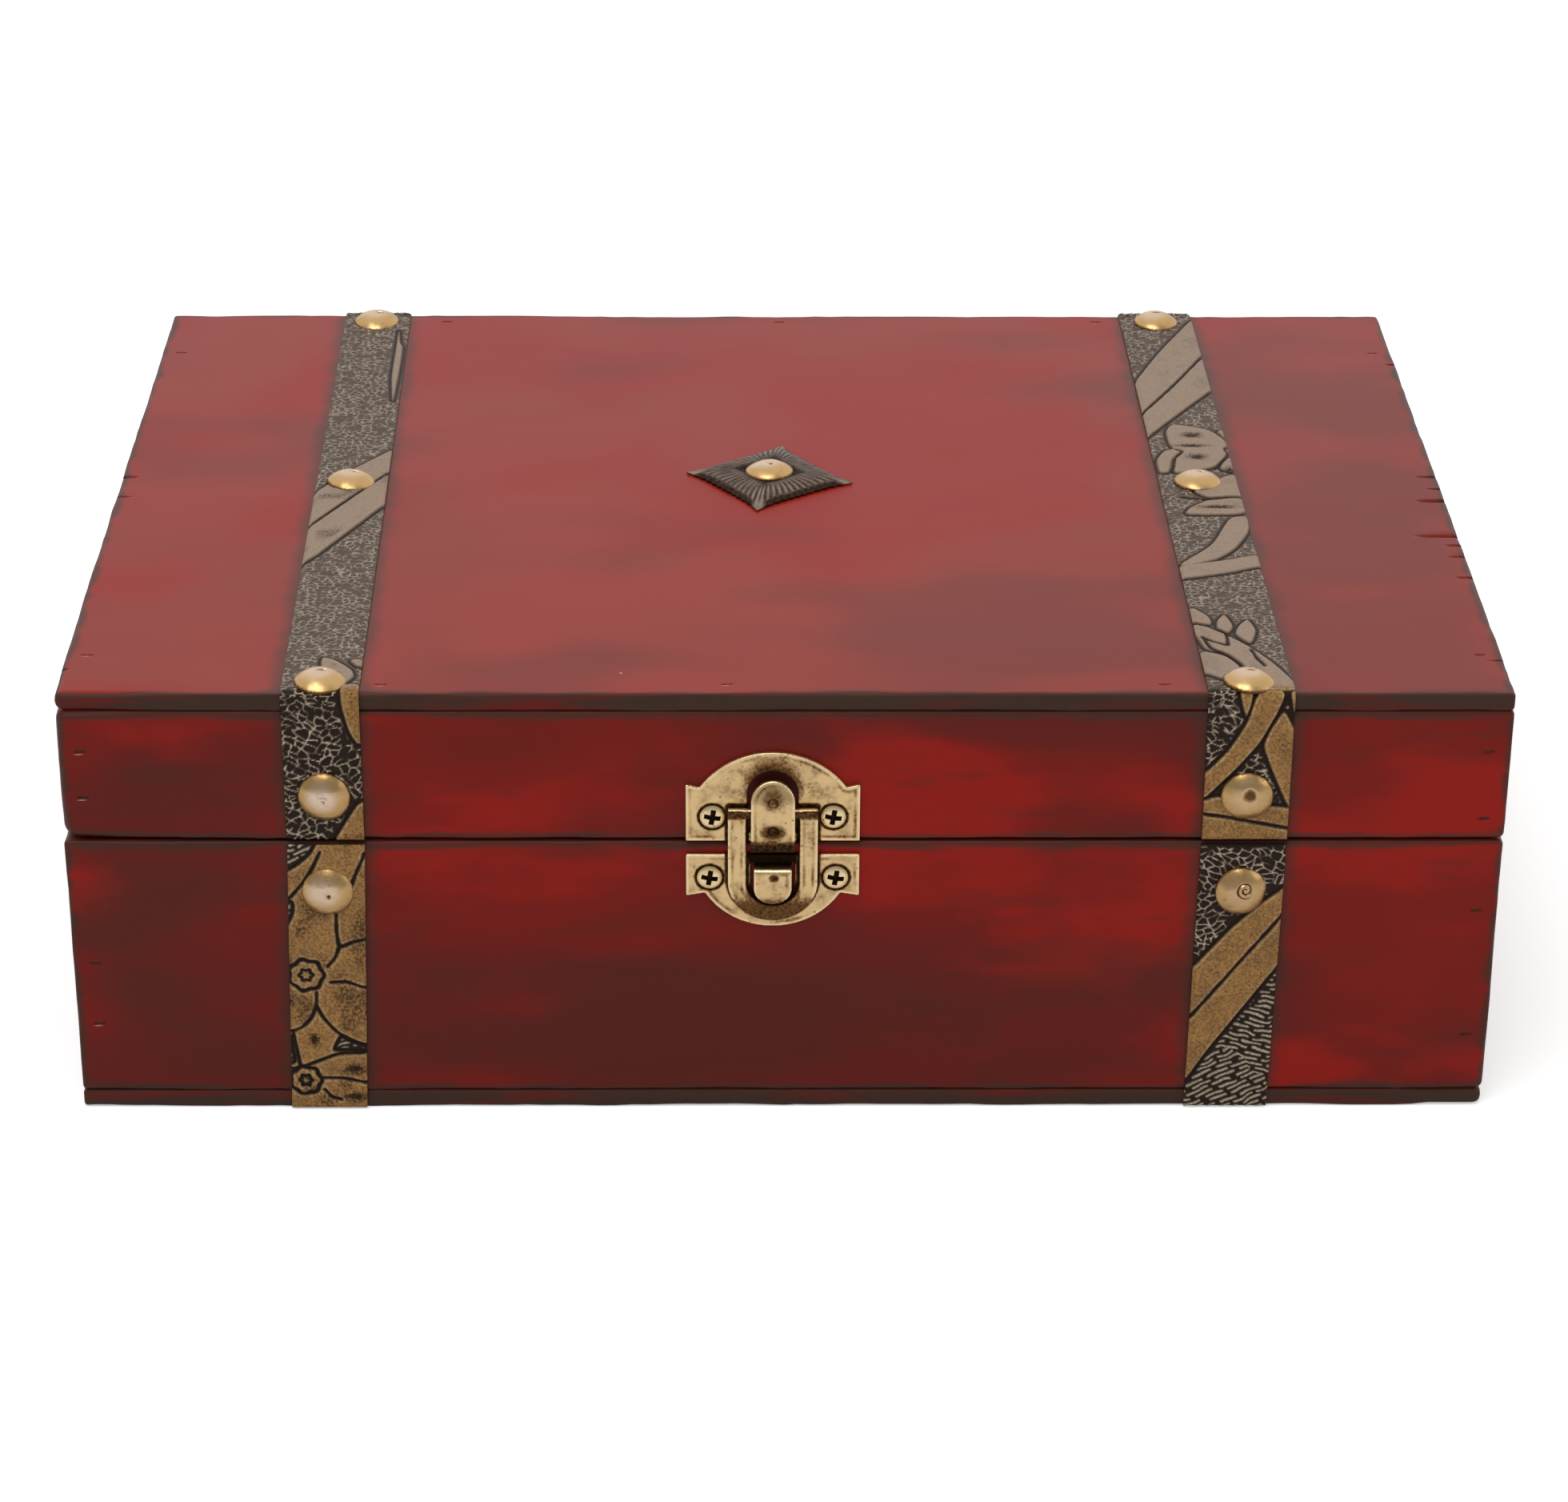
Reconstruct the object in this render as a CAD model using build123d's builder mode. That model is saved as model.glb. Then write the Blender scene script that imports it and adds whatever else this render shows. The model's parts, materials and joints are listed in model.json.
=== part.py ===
from build123d import *
from math import radians, sqrt, tan
import os

# A small wooden keepsake chest: red-stained boards nailed into a box, sawn apart into a base and a lid,
# with two embossed straps held by domed tacks, a diamond ornament, two butt hinges and a ring latch.
# Millimetres. +Z is up, the front faces -Y, and the origin is under the middle of the box.

os.makedirs("parts", exist_ok=True)

# Outside of the wooden box, and the saw cut that parts the lid from the base
box_width = 220.0
box_depth = 160.0
box_height = 72.0
lid_height = 24.8
seam_gap = 0.4

# Boards stand between a bottom panel and a top panel
board_thickness = 7.0
panel_thickness = 3.0
edge_round = 0.8
worn_corner_round = 3.0

# Small saw nicks along the top panel's side edges: place along Y and length of each cut
right_nicks = ((55.5, 1.6), (4.1, 2.4), (-6.1, 3.4), (-20.7, 6.0), (-24.5, 2.2), (-29.0, 3.0), (-37.2, 1.8))
corner_nick_inset = 9.0
left_nicks = ((3.9, 2.6), (corner_nick_inset - box_depth / 2, 2.0))
nick_width = 0.7
nick_depth = 1.1

# Headless brads that hold the boards together
brad_diameter = 1.2
brad_length = 15.0
corner_brad_length = 12.5
brad_sink = 0.3
panel_brads_front = (-61.0, -8.9, 57.3)
panel_brads_back = (-60.0, 0.5, 58.0)
side_brad_front_inset = 14.0
side_brad_back_inset = 19.0

# Heights of the corner brads, as shares of the way up the board that they go through
lid_brads_left = (0.69, 0.333)
lid_brads_right = (0.685, 0.162)
base_brads_left = (0.52, 0.277)
base_brads_right = (0.727, 0.227)

# Embossed straps, a left one and a right one
strap_thickness = 0.8
strap_end_gap = 0.3
left_strap_width = 11.8
left_strap_front = -70.0
left_strap_back = -72.6
left_strap_foot = -71.3
right_strap_width = 13.0
right_strap_front = 70.1
right_strap_back = 68.9
right_strap_foot = 69.4

# Domed tacks with a dimple in the crown
tack_diameter = 8.2
tack_height = 1.7
tack_metal = 0.5
tack_dimple_radius = 1.0
tack_dimple_depth = 0.35
tack_shank = 1.2
tack_point = 1.2
tack_cut = 0.2
tack_cover = 1.5
tack_clip_gap = 0.2
tack_front_inset = 3.2
tack_back_inset = 5.2
tack_middle = 0.5
lid_tack_rise = 7.8
base_tack_drop = 8.4

# Diamond ornament on the middle of the lid
diamond_x = -1.9
diamond_y = 3.0
diamond_span = 28.0
diamond_turn = -8.9
diamond_rise = 1.6
diamond_crown = 9.4
diamond_metal = 0.5
diamond_edge_dip = 0.35

# Latch: two screwed plates, a ring hasp, a tongue that carries it and a catch that holds it
latch_x = -1.9
latch_metal = 0.8
latch_width = 26.5
latch_notch = 0.5
lid_plate_lift = 0.2
lid_plate_ear = 9.5
lid_plate_ledge = 2.05
lid_plate_rise = 5.4
base_plate_drop = 2.0
base_plate_ear = 7.1
base_plate_ledge = 2.9
base_plate_rise = 5.3
hasp_axis_rise = 5.6
hasp_axis_stand = 1.05
hasp_metal = 1.0
hasp_width = 13.7
hasp_bar = 2.6
hasp_shoulder = 0.75
hasp_journal = 1.5
hasp_bend = 0.35
journal_clearance = 0.1
tongue_width = 6.7
tongue_tip_rise = 5.6
tongue_tip_lean = 1.4
tongue_side_gap = 0.7
catch_width = 5.8
catch_drop = 1.3
catch_length = 6.5
catch_stand = 1.4
catch_lean = 0.7
catch_tip_gap = 0.45
lance_gap = 0.5
fold_flat = 0.1
tongue_tip_bend = 4.0
catch_bend = 0.5
catch_tip_bend = 2.0
hasp_foot_bend = 2.0
dimple_radius = 1.1
dimple_hollow = 0.8
dimple_spacing = 2.4

# Latch screws: countersunk oval heads with a cross recess
screw_head = 4.0
screw_crown = 0.45
screw_shank = 1.8
screw_cover = 0.8
screw_angle = 82.0
screw_gap = 0.12
cross_share = 0.48
screw_slot = 0.42
screw_recess = 0.8
screw_recess_taper = 8.0
lid_screw_inset = 4.05
lid_screw_rise = 4.1
base_screw_inset = 3.6
base_screw_drop = 3.9

# Two butt hinges on the back
hinge_x = 40.0
hinge_length = 18.0
hinge_leaf = 8.0
hinge_metal = 0.8
knuckle_radius = 1.5
knuckle_count = 5
knuckle_gap = 0.15
knuckle_clearance = 0.3
leaf_relief = 0.4
pin_radius = 0.6
pin_clearance = 0.05
pin_head_radius = 0.95
pin_head = 0.4
hinge_screw_head = 2.8
hinge_screw_crown = 0.3
hinge_screw_shank = 1.4
hinge_screw_cover = 2.3
hinge_screw_spacing = 11.0
hinge_screw_drop = 5.3

# Heights and faces worked out from the sizes above
half_width = box_width / 2
half_depth = box_depth / 2
seam_height = box_height - lid_height
base_top = seam_height - seam_gap / 2
lid_low = seam_height + seam_gap / 2
lid_top = box_height - panel_thickness
side_x = half_width - board_thickness / 2
end_y = half_depth - board_thickness / 2
tack_grip = board_thickness - tack_cover
screw_length = latch_metal + board_thickness - screw_cover
hinge_screw_length = hinge_metal + board_thickness - hinge_screw_cover
lid_plate_arch = latch_width - 2 * lid_plate_ledge
base_plate_arch = latch_width - 2 * base_plate_ledge
barrel_stand = knuckle_radius + knuckle_clearance
lid_plate_low = lid_low + lid_plate_lift
base_plate_top = seam_height - base_plate_drop
tongue_gap = hasp_axis_stand + hasp_journal / 2 + journal_clearance
hasp_z = seam_height + hasp_axis_rise
hasp_stand = latch_metal + hasp_axis_stand
tongue_stand = latch_metal + tongue_gap + latch_metal / 2
latch_reach = tongue_stand + latch_metal
catch_root = base_plate_top - catch_drop
catch_tip = catch_root - catch_length
brad_reach = brad_length + brad_sink
corner_brad_reach = corner_brad_length + brad_sink

front_face = Plane(origin=(0, -half_depth, 0), x_dir=(1, 0, 0), z_dir=(0, -1, 0))
back_face = Plane(origin=(0, half_depth, 0), x_dir=(-1, 0, 0), z_dir=(0, 1, 0))
top_face = Plane.XY.offset(box_height)
bottom_face = Plane(origin=(0, 0, 0), x_dir=(1, 0, 0), z_dir=(0, 0, -1))
latch_face = Plane(origin=(latch_x, -half_depth, 0), x_dir=(1, 0, 0), z_dir=(0, -1, 0))
latch_side = Plane(origin=(latch_x, -half_depth, 0), x_dir=(0, -1, 0), z_dir=(-1, 0, 0))

# Places of the tacks, screws and brads, shared by the fasteners and the holes that they sit in
straps = {
    "left": (left_strap_width, left_strap_front, left_strap_back, left_strap_foot),
    "right": (right_strap_width, right_strap_front, right_strap_back, right_strap_foot),
}
front_tack_y = -half_depth + tack_front_inset
back_tack_y = half_depth - tack_back_inset
lid_tack_z = seam_height + lid_tack_rise
base_tack_z = seam_height - base_tack_drop
top_tacks_front = [(front, front_tack_y) for width, front, back, foot in straps.values()]
top_tacks_back = [(back, back_tack_y) for width, front, back, foot in straps.values()]
top_tacks_deep = top_tacks_front + top_tacks_back
top_tacks_clipped = [((front + back) / 2, tack_middle) for width, front, back, foot in straps.values()]
lid_front_tacks_at = [(front, lid_tack_z) for width, front, back, foot in straps.values()]
lid_back_tacks_at = [(-back, lid_tack_z) for width, front, back, foot in straps.values()]
base_front_tacks_at = [(front, base_tack_z) for width, front, back, foot in straps.values()]
base_back_tacks_at = [(-back, base_tack_z) for width, front, back, foot in straps.values()]
diamond_at = (diamond_x, diamond_y)
lid_screw_z = lid_plate_low + lid_screw_rise
base_screw_z = base_plate_top - base_screw_drop
lid_screw_out = latch_width / 2 - lid_screw_inset
base_screw_out = latch_width / 2 - base_screw_inset
lid_screws_at = [(latch_x + side * lid_screw_out, lid_screw_z) for side in (-1, 1)]
base_screws_at = [(latch_x + side * base_screw_out, base_screw_z) for side in (-1, 1)]
hinge_screw_x = [
    hinge + side * hinge_screw_spacing / 2 for hinge in (-hinge_x, hinge_x) for side in (-1, 1)
]
lid_hinge_screws_at = [(x, seam_height + hinge_screw_drop) for x in hinge_screw_x]
base_hinge_screws_at = [(x, seam_height - hinge_screw_drop) for x in hinge_screw_x]
end_brads_front = [(x, -end_y) for x in panel_brads_front]
end_brads_back = [(x, end_y) for x in panel_brads_back]
side_brad_y = (side_brad_front_inset - half_depth, half_depth - side_brad_back_inset)
side_brads_left = [(-side_x, y) for y in side_brad_y]
side_brads_right = [(side_x, y) for y in side_brad_y]
panel_brads = end_brads_front + end_brads_back + side_brads_left + side_brads_right
lid_brad_z = {
    side: [lid_low + share * (lid_top - lid_low) for share in shares]
    for side, shares in ((-1, lid_brads_left), (1, lid_brads_right))
}
base_brad_z = {
    side: [panel_thickness + share * (base_top - panel_thickness) for share in shares]
    for side, shares in ((-1, base_brads_left), (1, base_brads_right))
}
lid_corner_brads_at = [(side * side_x, z) for side, heights in lid_brad_z.items() for z in heights]
base_corner_brads_at = [(side * side_x, z) for side, heights in base_brad_z.items() for z in heights]


def turned_over(spots):
    """The same places for the underside, whose own Y runs the other way."""
    return [(u, -v) for u, v in spots]


def mirrored(spots):
    """The same places for the back face, whose own X runs the other way."""
    return [(-u, v) for u, v in spots]


def drill(face, spots, diameter, depth):
    """Bore straight holes into the part that is being made."""
    with BuildSketch(face) as mouths:
        with Locations(*spots):
            Circle(diameter / 2)
    extrude(mouths.sketch, amount=-depth, mode=Mode.SUBTRACT)


def drill_countersunk(face, spots, shank, mouth, depth):
    """Bore screw holes that widen to the mouth's diameter at the face."""
    with Locations(face):
        with Locations(*spots):
            CounterSinkHole(shank / 2, mouth / 2, depth, screw_angle)


def cone_width(head, drop):
    """The diameter of a screw's cone at a depth below the rim of its head."""
    return head - 2 * drop * tan(radians(screw_angle / 2))


def cap(radius, rim, rise):
    """The height of a round cap at a radius, where the cap has this rim radius and rise."""
    sphere = (rim**2 + rise**2) / (2 * rise)
    return rise - sphere + sqrt(sphere**2 - radius**2)


def set_out(face, spots, piece):
    """Copies of a fastener, one standing on the face at each place."""
    with BuildPart() as group:
        with Locations(face):
            with Locations(*spots):
                add(piece)
    return group.part


def finish(part, name):
    """Name a finished piece and write it."""
    part.label = name
    export_step(part, f"parts/{name}.step")


def cut_nicks(side, cuts):
    """Small saw cuts that slope into a side edge of the top panel that is being made."""
    edge_x = side * half_width
    for y, length in cuts:
        with BuildSketch(Plane.XZ.offset(-y)) as wedge:
            with BuildLine():
                Polyline(
                    (edge_x - side * length, box_height + nick_width),
                    (edge_x + side * nick_width, box_height + nick_width),
                    (edge_x + side * nick_width, box_height - nick_depth),
                    close=True,
                )
            make_face()
        extrude(wedge.sketch, amount=nick_width / 2, both=True, mode=Mode.SUBTRACT)


# Screw holes: the cone that starts in a metal plate runs on into the wood behind it
screw_mouth = screw_head + screw_gap
hinge_mouth = hinge_screw_head + screw_gap
screw_wood_mouth = cone_width(screw_mouth, latch_metal)
hinge_wood_mouth = cone_width(hinge_mouth, hinge_metal)
hinge_bore = hinge_screw_length - hinge_metal

# Top and bottom panels
with BuildPart() as top_panel:
    with BuildSketch(Plane.XY.offset(lid_top)):
        Rectangle(box_width, box_depth)
    extrude(amount=panel_thickness)
    fillet(top_panel.edges().filter_by(Axis.Z), edge_round)
    fillet(top_panel.faces().sort_by(Axis.Z)[-1].edges(), edge_round)
    cut_nicks(1, right_nicks)
    cut_nicks(-1, left_nicks)
    drill(top_face, top_tacks_deep + top_tacks_clipped + [diamond_at], tack_shank, panel_thickness)
    drill(top_face, panel_brads, brad_diameter, panel_thickness)
finish(top_panel.part, "top_panel")

with BuildPart() as bottom_panel:
    with BuildSketch(Plane.XY):
        Rectangle(box_width, box_depth)
    extrude(amount=panel_thickness)
    upright = bottom_panel.edges().filter_by(Axis.Z)
    fillet(upright.sort_by(Axis.X)[2:].sort_by(Axis.Y)[:1], worn_corner_round)
    fillet(bottom_panel.edges().filter_by(Axis.Z).group_by(Axis.X)[0], edge_round)
    fillet(bottom_panel.faces().sort_by(Axis.Z)[0].edges(), edge_round)
    drill(bottom_face, turned_over(panel_brads), brad_diameter, panel_thickness)
finish(bottom_panel.part, "bottom_panel")

# Front and back boards of the base
with BuildPart() as base_front_board:
    with BuildSketch(Plane.XY.offset(panel_thickness)):
        with Locations((0, -end_y)):
            Rectangle(box_width, board_thickness)
    extrude(amount=base_top - panel_thickness)
    fillet(base_front_board.edges().filter_by(Axis.Z).group_by(Axis.Y)[0], edge_round)
    drill(front_face, base_corner_brads_at, brad_diameter, board_thickness)
    drill(front_face, base_front_tacks_at, tack_shank, tack_grip)
    drill_countersunk(front_face, base_screws_at, screw_shank, screw_wood_mouth, screw_length - latch_metal)
    drill(bottom_face, turned_over(end_brads_front), brad_diameter, brad_reach)
finish(base_front_board.part, "base_front_board")

with BuildPart() as base_back_board:
    with BuildSketch(Plane.XY.offset(panel_thickness)):
        with Locations((0, end_y)):
            Rectangle(box_width, board_thickness)
    extrude(amount=base_top - panel_thickness)
    fillet(base_back_board.edges().filter_by(Axis.Z).group_by(Axis.Y)[-1], edge_round)
    drill(back_face, mirrored(base_corner_brads_at), brad_diameter, board_thickness)
    drill(back_face, base_back_tacks_at, tack_shank, tack_grip)
    drill_countersunk(back_face, base_hinge_screws_at, hinge_screw_shank, hinge_wood_mouth, hinge_bore)
    drill(bottom_face, turned_over(end_brads_back), brad_diameter, brad_reach)
finish(base_back_board.part, "base_back_board")

# Front and back boards of the lid
with BuildPart() as lid_front_board:
    with BuildSketch(Plane.XY.offset(lid_low)):
        with Locations((0, -end_y)):
            Rectangle(box_width, board_thickness)
    extrude(amount=lid_top - lid_low)
    fillet(lid_front_board.edges().filter_by(Axis.Z).group_by(Axis.Y)[0], edge_round)
    drill(front_face, lid_corner_brads_at, brad_diameter, board_thickness)
    drill(front_face, lid_front_tacks_at, tack_shank, tack_grip)
    drill_countersunk(front_face, lid_screws_at, screw_shank, screw_wood_mouth, screw_length - latch_metal)
    drill(top_face, end_brads_front, brad_diameter, brad_reach)
    drill(top_face, top_tacks_front, tack_shank, tack_grip)
finish(lid_front_board.part, "lid_front_board")

with BuildPart() as lid_back_board:
    with BuildSketch(Plane.XY.offset(lid_low)):
        with Locations((0, end_y)):
            Rectangle(box_width, board_thickness)
    extrude(amount=lid_top - lid_low)
    fillet(lid_back_board.edges().filter_by(Axis.Z).group_by(Axis.Y)[-1], edge_round)
    drill(back_face, mirrored(lid_corner_brads_at), brad_diameter, board_thickness)
    drill(back_face, lid_back_tacks_at, tack_shank, tack_grip)
    drill_countersunk(back_face, lid_hinge_screws_at, hinge_screw_shank, hinge_wood_mouth, hinge_bore)
    drill(top_face, end_brads_back, brad_diameter, brad_reach)
    drill(top_face, top_tacks_back, tack_shank, tack_grip)
finish(lid_back_board.part, "lid_back_board")

# Side boards, which stand between the front and back boards
for side, name, panel_spots in ((-1, "left", side_brads_left), (1, "right", side_brads_right)):
    base_spots = [(side * side_x, z) for z in base_brad_z[side]]
    lid_spots = [(side * side_x, z) for z in lid_brad_z[side]]
    with BuildPart() as base_side_board:
        with BuildSketch(Plane.XY.offset(panel_thickness)):
            with Locations((side * side_x, 0)):
                Rectangle(board_thickness, box_depth - 2 * board_thickness)
        extrude(amount=base_top - panel_thickness)
        drill(front_face, base_spots, brad_diameter, corner_brad_reach)
        drill(back_face, mirrored(base_spots), brad_diameter, corner_brad_reach)
        drill(bottom_face, turned_over(panel_spots), brad_diameter, brad_reach)
    finish(base_side_board.part, f"base_{name}_board")

    with BuildPart() as lid_side_board:
        with BuildSketch(Plane.XY.offset(lid_low)):
            with Locations((side * side_x, 0)):
                Rectangle(board_thickness, box_depth - 2 * board_thickness)
        extrude(amount=lid_top - lid_low)
        drill(front_face, lid_spots, brad_diameter, corner_brad_reach)
        drill(back_face, mirrored(lid_spots), brad_diameter, corner_brad_reach)
        drill(top_face, panel_spots, brad_diameter, brad_reach)
    finish(lid_side_board.part, f"lid_{name}_board")


# Brads, sunk a little below the wood
def brad(length):
    """One headless brad, driven down from Z = 0."""
    with BuildPart() as pin:
        with BuildSketch(Plane.XY.offset(-brad_sink)):
            Circle(brad_diameter / 2)
        extrude(amount=-length)
    return pin.part


with BuildPart() as top_panel_brads:
    add(set_out(top_face, panel_brads, brad(brad_length)))
finish(top_panel_brads.part, "top_panel_brads")

with BuildPart() as bottom_panel_brads:
    add(set_out(bottom_face, turned_over(panel_brads), brad(brad_length)))
finish(bottom_panel_brads.part, "bottom_panel_brads")

for name, spots in (("lid", lid_corner_brads_at), ("base", base_corner_brads_at)):
    with BuildPart() as corner_brads:
        add(set_out(front_face, spots, brad(corner_brad_length)))
        add(set_out(back_face, mirrored(spots), brad(corner_brad_length)))
    finish(corner_brads.part, f"{name}_corner_brads")

# Straps: one piece over each side of the lid, and one down the front and the back of the base
for name, (width, front, back, foot) in straps.items():
    tack_row = [(front, front_tack_y), (back, back_tack_y), ((front + back) / 2, tack_middle)]
    with BuildPart() as lid_strap:
        with BuildSketch(Plane.YZ):
            with BuildLine():
                inner = FilletPolyline(
                    (-half_depth, lid_low + strap_end_gap),
                    (-half_depth, box_height),
                    (half_depth, box_height),
                    (half_depth, lid_low + strap_end_gap),
                    radius=edge_round,
                )
                outer = FilletPolyline(
                    (-half_depth - strap_thickness, lid_low + strap_end_gap),
                    (-half_depth - strap_thickness, box_height + strap_thickness),
                    (half_depth + strap_thickness, box_height + strap_thickness),
                    (half_depth + strap_thickness, lid_low + strap_end_gap),
                    radius=edge_round + strap_thickness,
                )
                Line(inner @ 0, outer @ 0)
                Line(inner @ 1, outer @ 1)
            make_face()
        extrude(amount=half_width, both=True)
        with BuildSketch(Plane.XY) as course:
            with BuildLine():
                reach = half_depth + strap_thickness
                Polyline(
                    (front - width / 2, -reach),
                    (front + width / 2, -reach),
                    (back + width / 2, reach),
                    (back - width / 2, reach),
                    close=True,
                )
            make_face()
        extrude(course.sketch, amount=2 * box_height, mode=Mode.INTERSECT)
        drill(top_face.offset(strap_thickness), tack_row, tack_shank, strap_thickness)
        drill(front_face.offset(strap_thickness), [(front, lid_tack_z)], tack_shank, strap_thickness)
        drill(back_face.offset(strap_thickness), [(-back, lid_tack_z)], tack_shank, strap_thickness)
    finish(lid_strap.part, f"lid_strap_{name}")

    for end, face, head_x, foot_x in (("front", front_face, front, foot), ("back", back_face, -back, -back)):
        with BuildPart() as base_strap:
            with BuildSketch(face):
                with BuildLine():
                    Polyline(
                        (head_x - width / 2, base_top - strap_end_gap),
                        (head_x + width / 2, base_top - strap_end_gap),
                        (foot_x + width / 2, strap_end_gap),
                        (foot_x - width / 2, strap_end_gap),
                        close=True,
                    )
                make_face()
            extrude(amount=strap_thickness)
            drill(face.offset(strap_thickness), [(head_x, base_tack_z)], tack_shank, strap_thickness)
        finish(base_strap.part, f"base_{end}_strap_{name}")


# Domed tacks: a thin pressed head with a dimpled crown, hollow underneath, on a pointed shank
def domed_tack(reach, point):
    """One tack standing on its rim at Z = 0, with its shank running down to the reach."""
    rim = tack_diameter / 2
    inner_rim = rim - tack_metal
    inner_rise = tack_height - tack_metal
    neck = (tack_shank / 2, cap(tack_shank / 2, inner_rim, inner_rise))
    lip = (tack_dimple_radius, cap(tack_dimple_radius, rim, tack_height))
    floor = lip[1] - tack_dimple_depth
    inner_mid = (inner_rim + tack_shank / 2) / 2
    outer_mid = (rim + tack_dimple_radius) / 2
    dimple_mid = tack_dimple_radius / 2
    dimple_z = lip[1] - cap(dimple_mid, tack_dimple_radius, tack_dimple_depth)
    with BuildPart() as tack:
        with BuildSketch(Plane.XZ):
            with BuildLine():
                Polyline(
                    (0, floor),
                    (0, -reach),
                    (tack_shank / 4, -reach),
                    (tack_shank / 2, point - reach),
                    neck,
                )
                ThreePointArc(neck, (inner_mid, cap(inner_mid, inner_rim, inner_rise)), (inner_rim, 0))
                Line((inner_rim, 0), (rim, 0))
                ThreePointArc((rim, 0), (outer_mid, cap(outer_mid, rim, tack_height)), lip)
                ThreePointArc(lip, (dimple_mid, dimple_z), (0, floor))
            make_face()
        revolve(axis=Axis.Z)
    return tack.part


deep_tack = domed_tack(strap_thickness + tack_grip, tack_point)
clipped_tack = domed_tack(strap_thickness + panel_thickness - tack_clip_gap, tack_cut)

with BuildPart() as lid_top_tacks:
    add(set_out(top_face.offset(strap_thickness), top_tacks_deep, deep_tack))
    add(set_out(top_face.offset(strap_thickness), top_tacks_clipped, clipped_tack))
finish(lid_top_tacks.part, "lid_top_tacks")

for name, face, spots in (
    ("lid_front_tacks", front_face, lid_front_tacks_at),
    ("lid_back_tacks", back_face, lid_back_tacks_at),
    ("base_front_tacks", front_face, base_front_tacks_at),
    ("base_back_tacks", back_face, base_back_tacks_at),
):
    with BuildPart() as tack_pair:
        add(set_out(face.offset(strap_thickness), spots, deep_tack))
    finish(tack_pair.part, name)


# Diamond ornament: a thin pressed pyramid with hollowed sides and a flat crown under its tack
def diamond_outline(plane, span):
    """A square standing on its corner, with its sides curved in a little."""
    corner = span / 2
    side = corner / 2 - diamond_edge_dip * span / diamond_span
    with BuildSketch(plane) as outline:
        with BuildLine():
            ThreePointArc((corner, 0), (side, side), (0, corner))
            ThreePointArc((0, corner), (-side, side), (-corner, 0))
            ThreePointArc((-corner, 0), (-side, -side), (0, -corner))
            ThreePointArc((0, -corner), (side, -side), (corner, 0))
        make_face()
    return outline.sketch


diamond_base = Plane(origin=(diamond_x, diamond_y, box_height)).rotated((0, 0, diamond_turn))
diamond_top = diamond_base.offset(diamond_rise)
with BuildPart() as diamond_plate:
    loft([diamond_outline(diamond_base, diamond_span), diamond_outline(diamond_top, diamond_crown)])
    loft(
        [
            diamond_outline(diamond_base.offset(-diamond_metal), diamond_span),
            diamond_outline(diamond_top.offset(-diamond_metal), diamond_crown),
        ],
        mode=Mode.SUBTRACT,
    )
    drill(top_face.offset(diamond_rise), [diamond_at], tack_shank, diamond_rise)
finish(diamond_plate.part, "diamond_plate")

with BuildPart() as diamond_tack:
    with Locations(top_face.offset(diamond_rise)):
        with Locations(diamond_at):
            add(domed_tack(diamond_rise + panel_thickness - tack_clip_gap, tack_cut))
finish(diamond_tack.part, "diamond_tack")


# Latch plates, each with a strip lanced out of it and bent forwards
def plate_outline(edge, up, ear, arch, rise):
    """A plate's face: a straight edge, two square ears and an arch between them, going up or down."""
    with BuildSketch(latch_face) as outline:
        with BuildLine():
            foot = (arch / 2, edge + up * (ear - latch_notch))
            crest = (0, edge + up * (ear + rise))
            Polyline(
                (-foot[0], foot[1]),
                (-latch_width / 2, edge + up * ear),
                (-latch_width / 2, edge),
                (latch_width / 2, edge),
                (latch_width / 2, edge + up * ear),
                foot,
            )
            ThreePointArc(foot, crest, (-foot[0], foot[1]))
        make_face()
    return outline.sketch


def round_ended(width, square_end, round_end):
    """An upright strip's face on the latch's middle line, square at one end and round at the other."""
    up = 1 if round_end > square_end else -1
    centre = round_end - up * width / 2
    with BuildSketch(latch_face) as outline:
        with Locations((0, (square_end + centre) / 2)):
            Rectangle(width, abs(centre - square_end))
        with Locations((0, centre)):
            Circle(width / 2)
    return outline.sketch


def bent_strip(spine, bend, width, square_end, round_end):
    """A strip of sheet bent along its spine and rounded at its free end."""
    with BuildPart() as strip:
        with BuildSketch(latch_side):
            with BuildLine():
                FilletPolyline(*spine, radius=bend)
            trace(line_width=latch_metal)
        extrude(amount=width / 2, both=True)
        extrude(round_ended(width, square_end, round_end), amount=latch_reach, mode=Mode.INTERSECT)
    return strip.part


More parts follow.
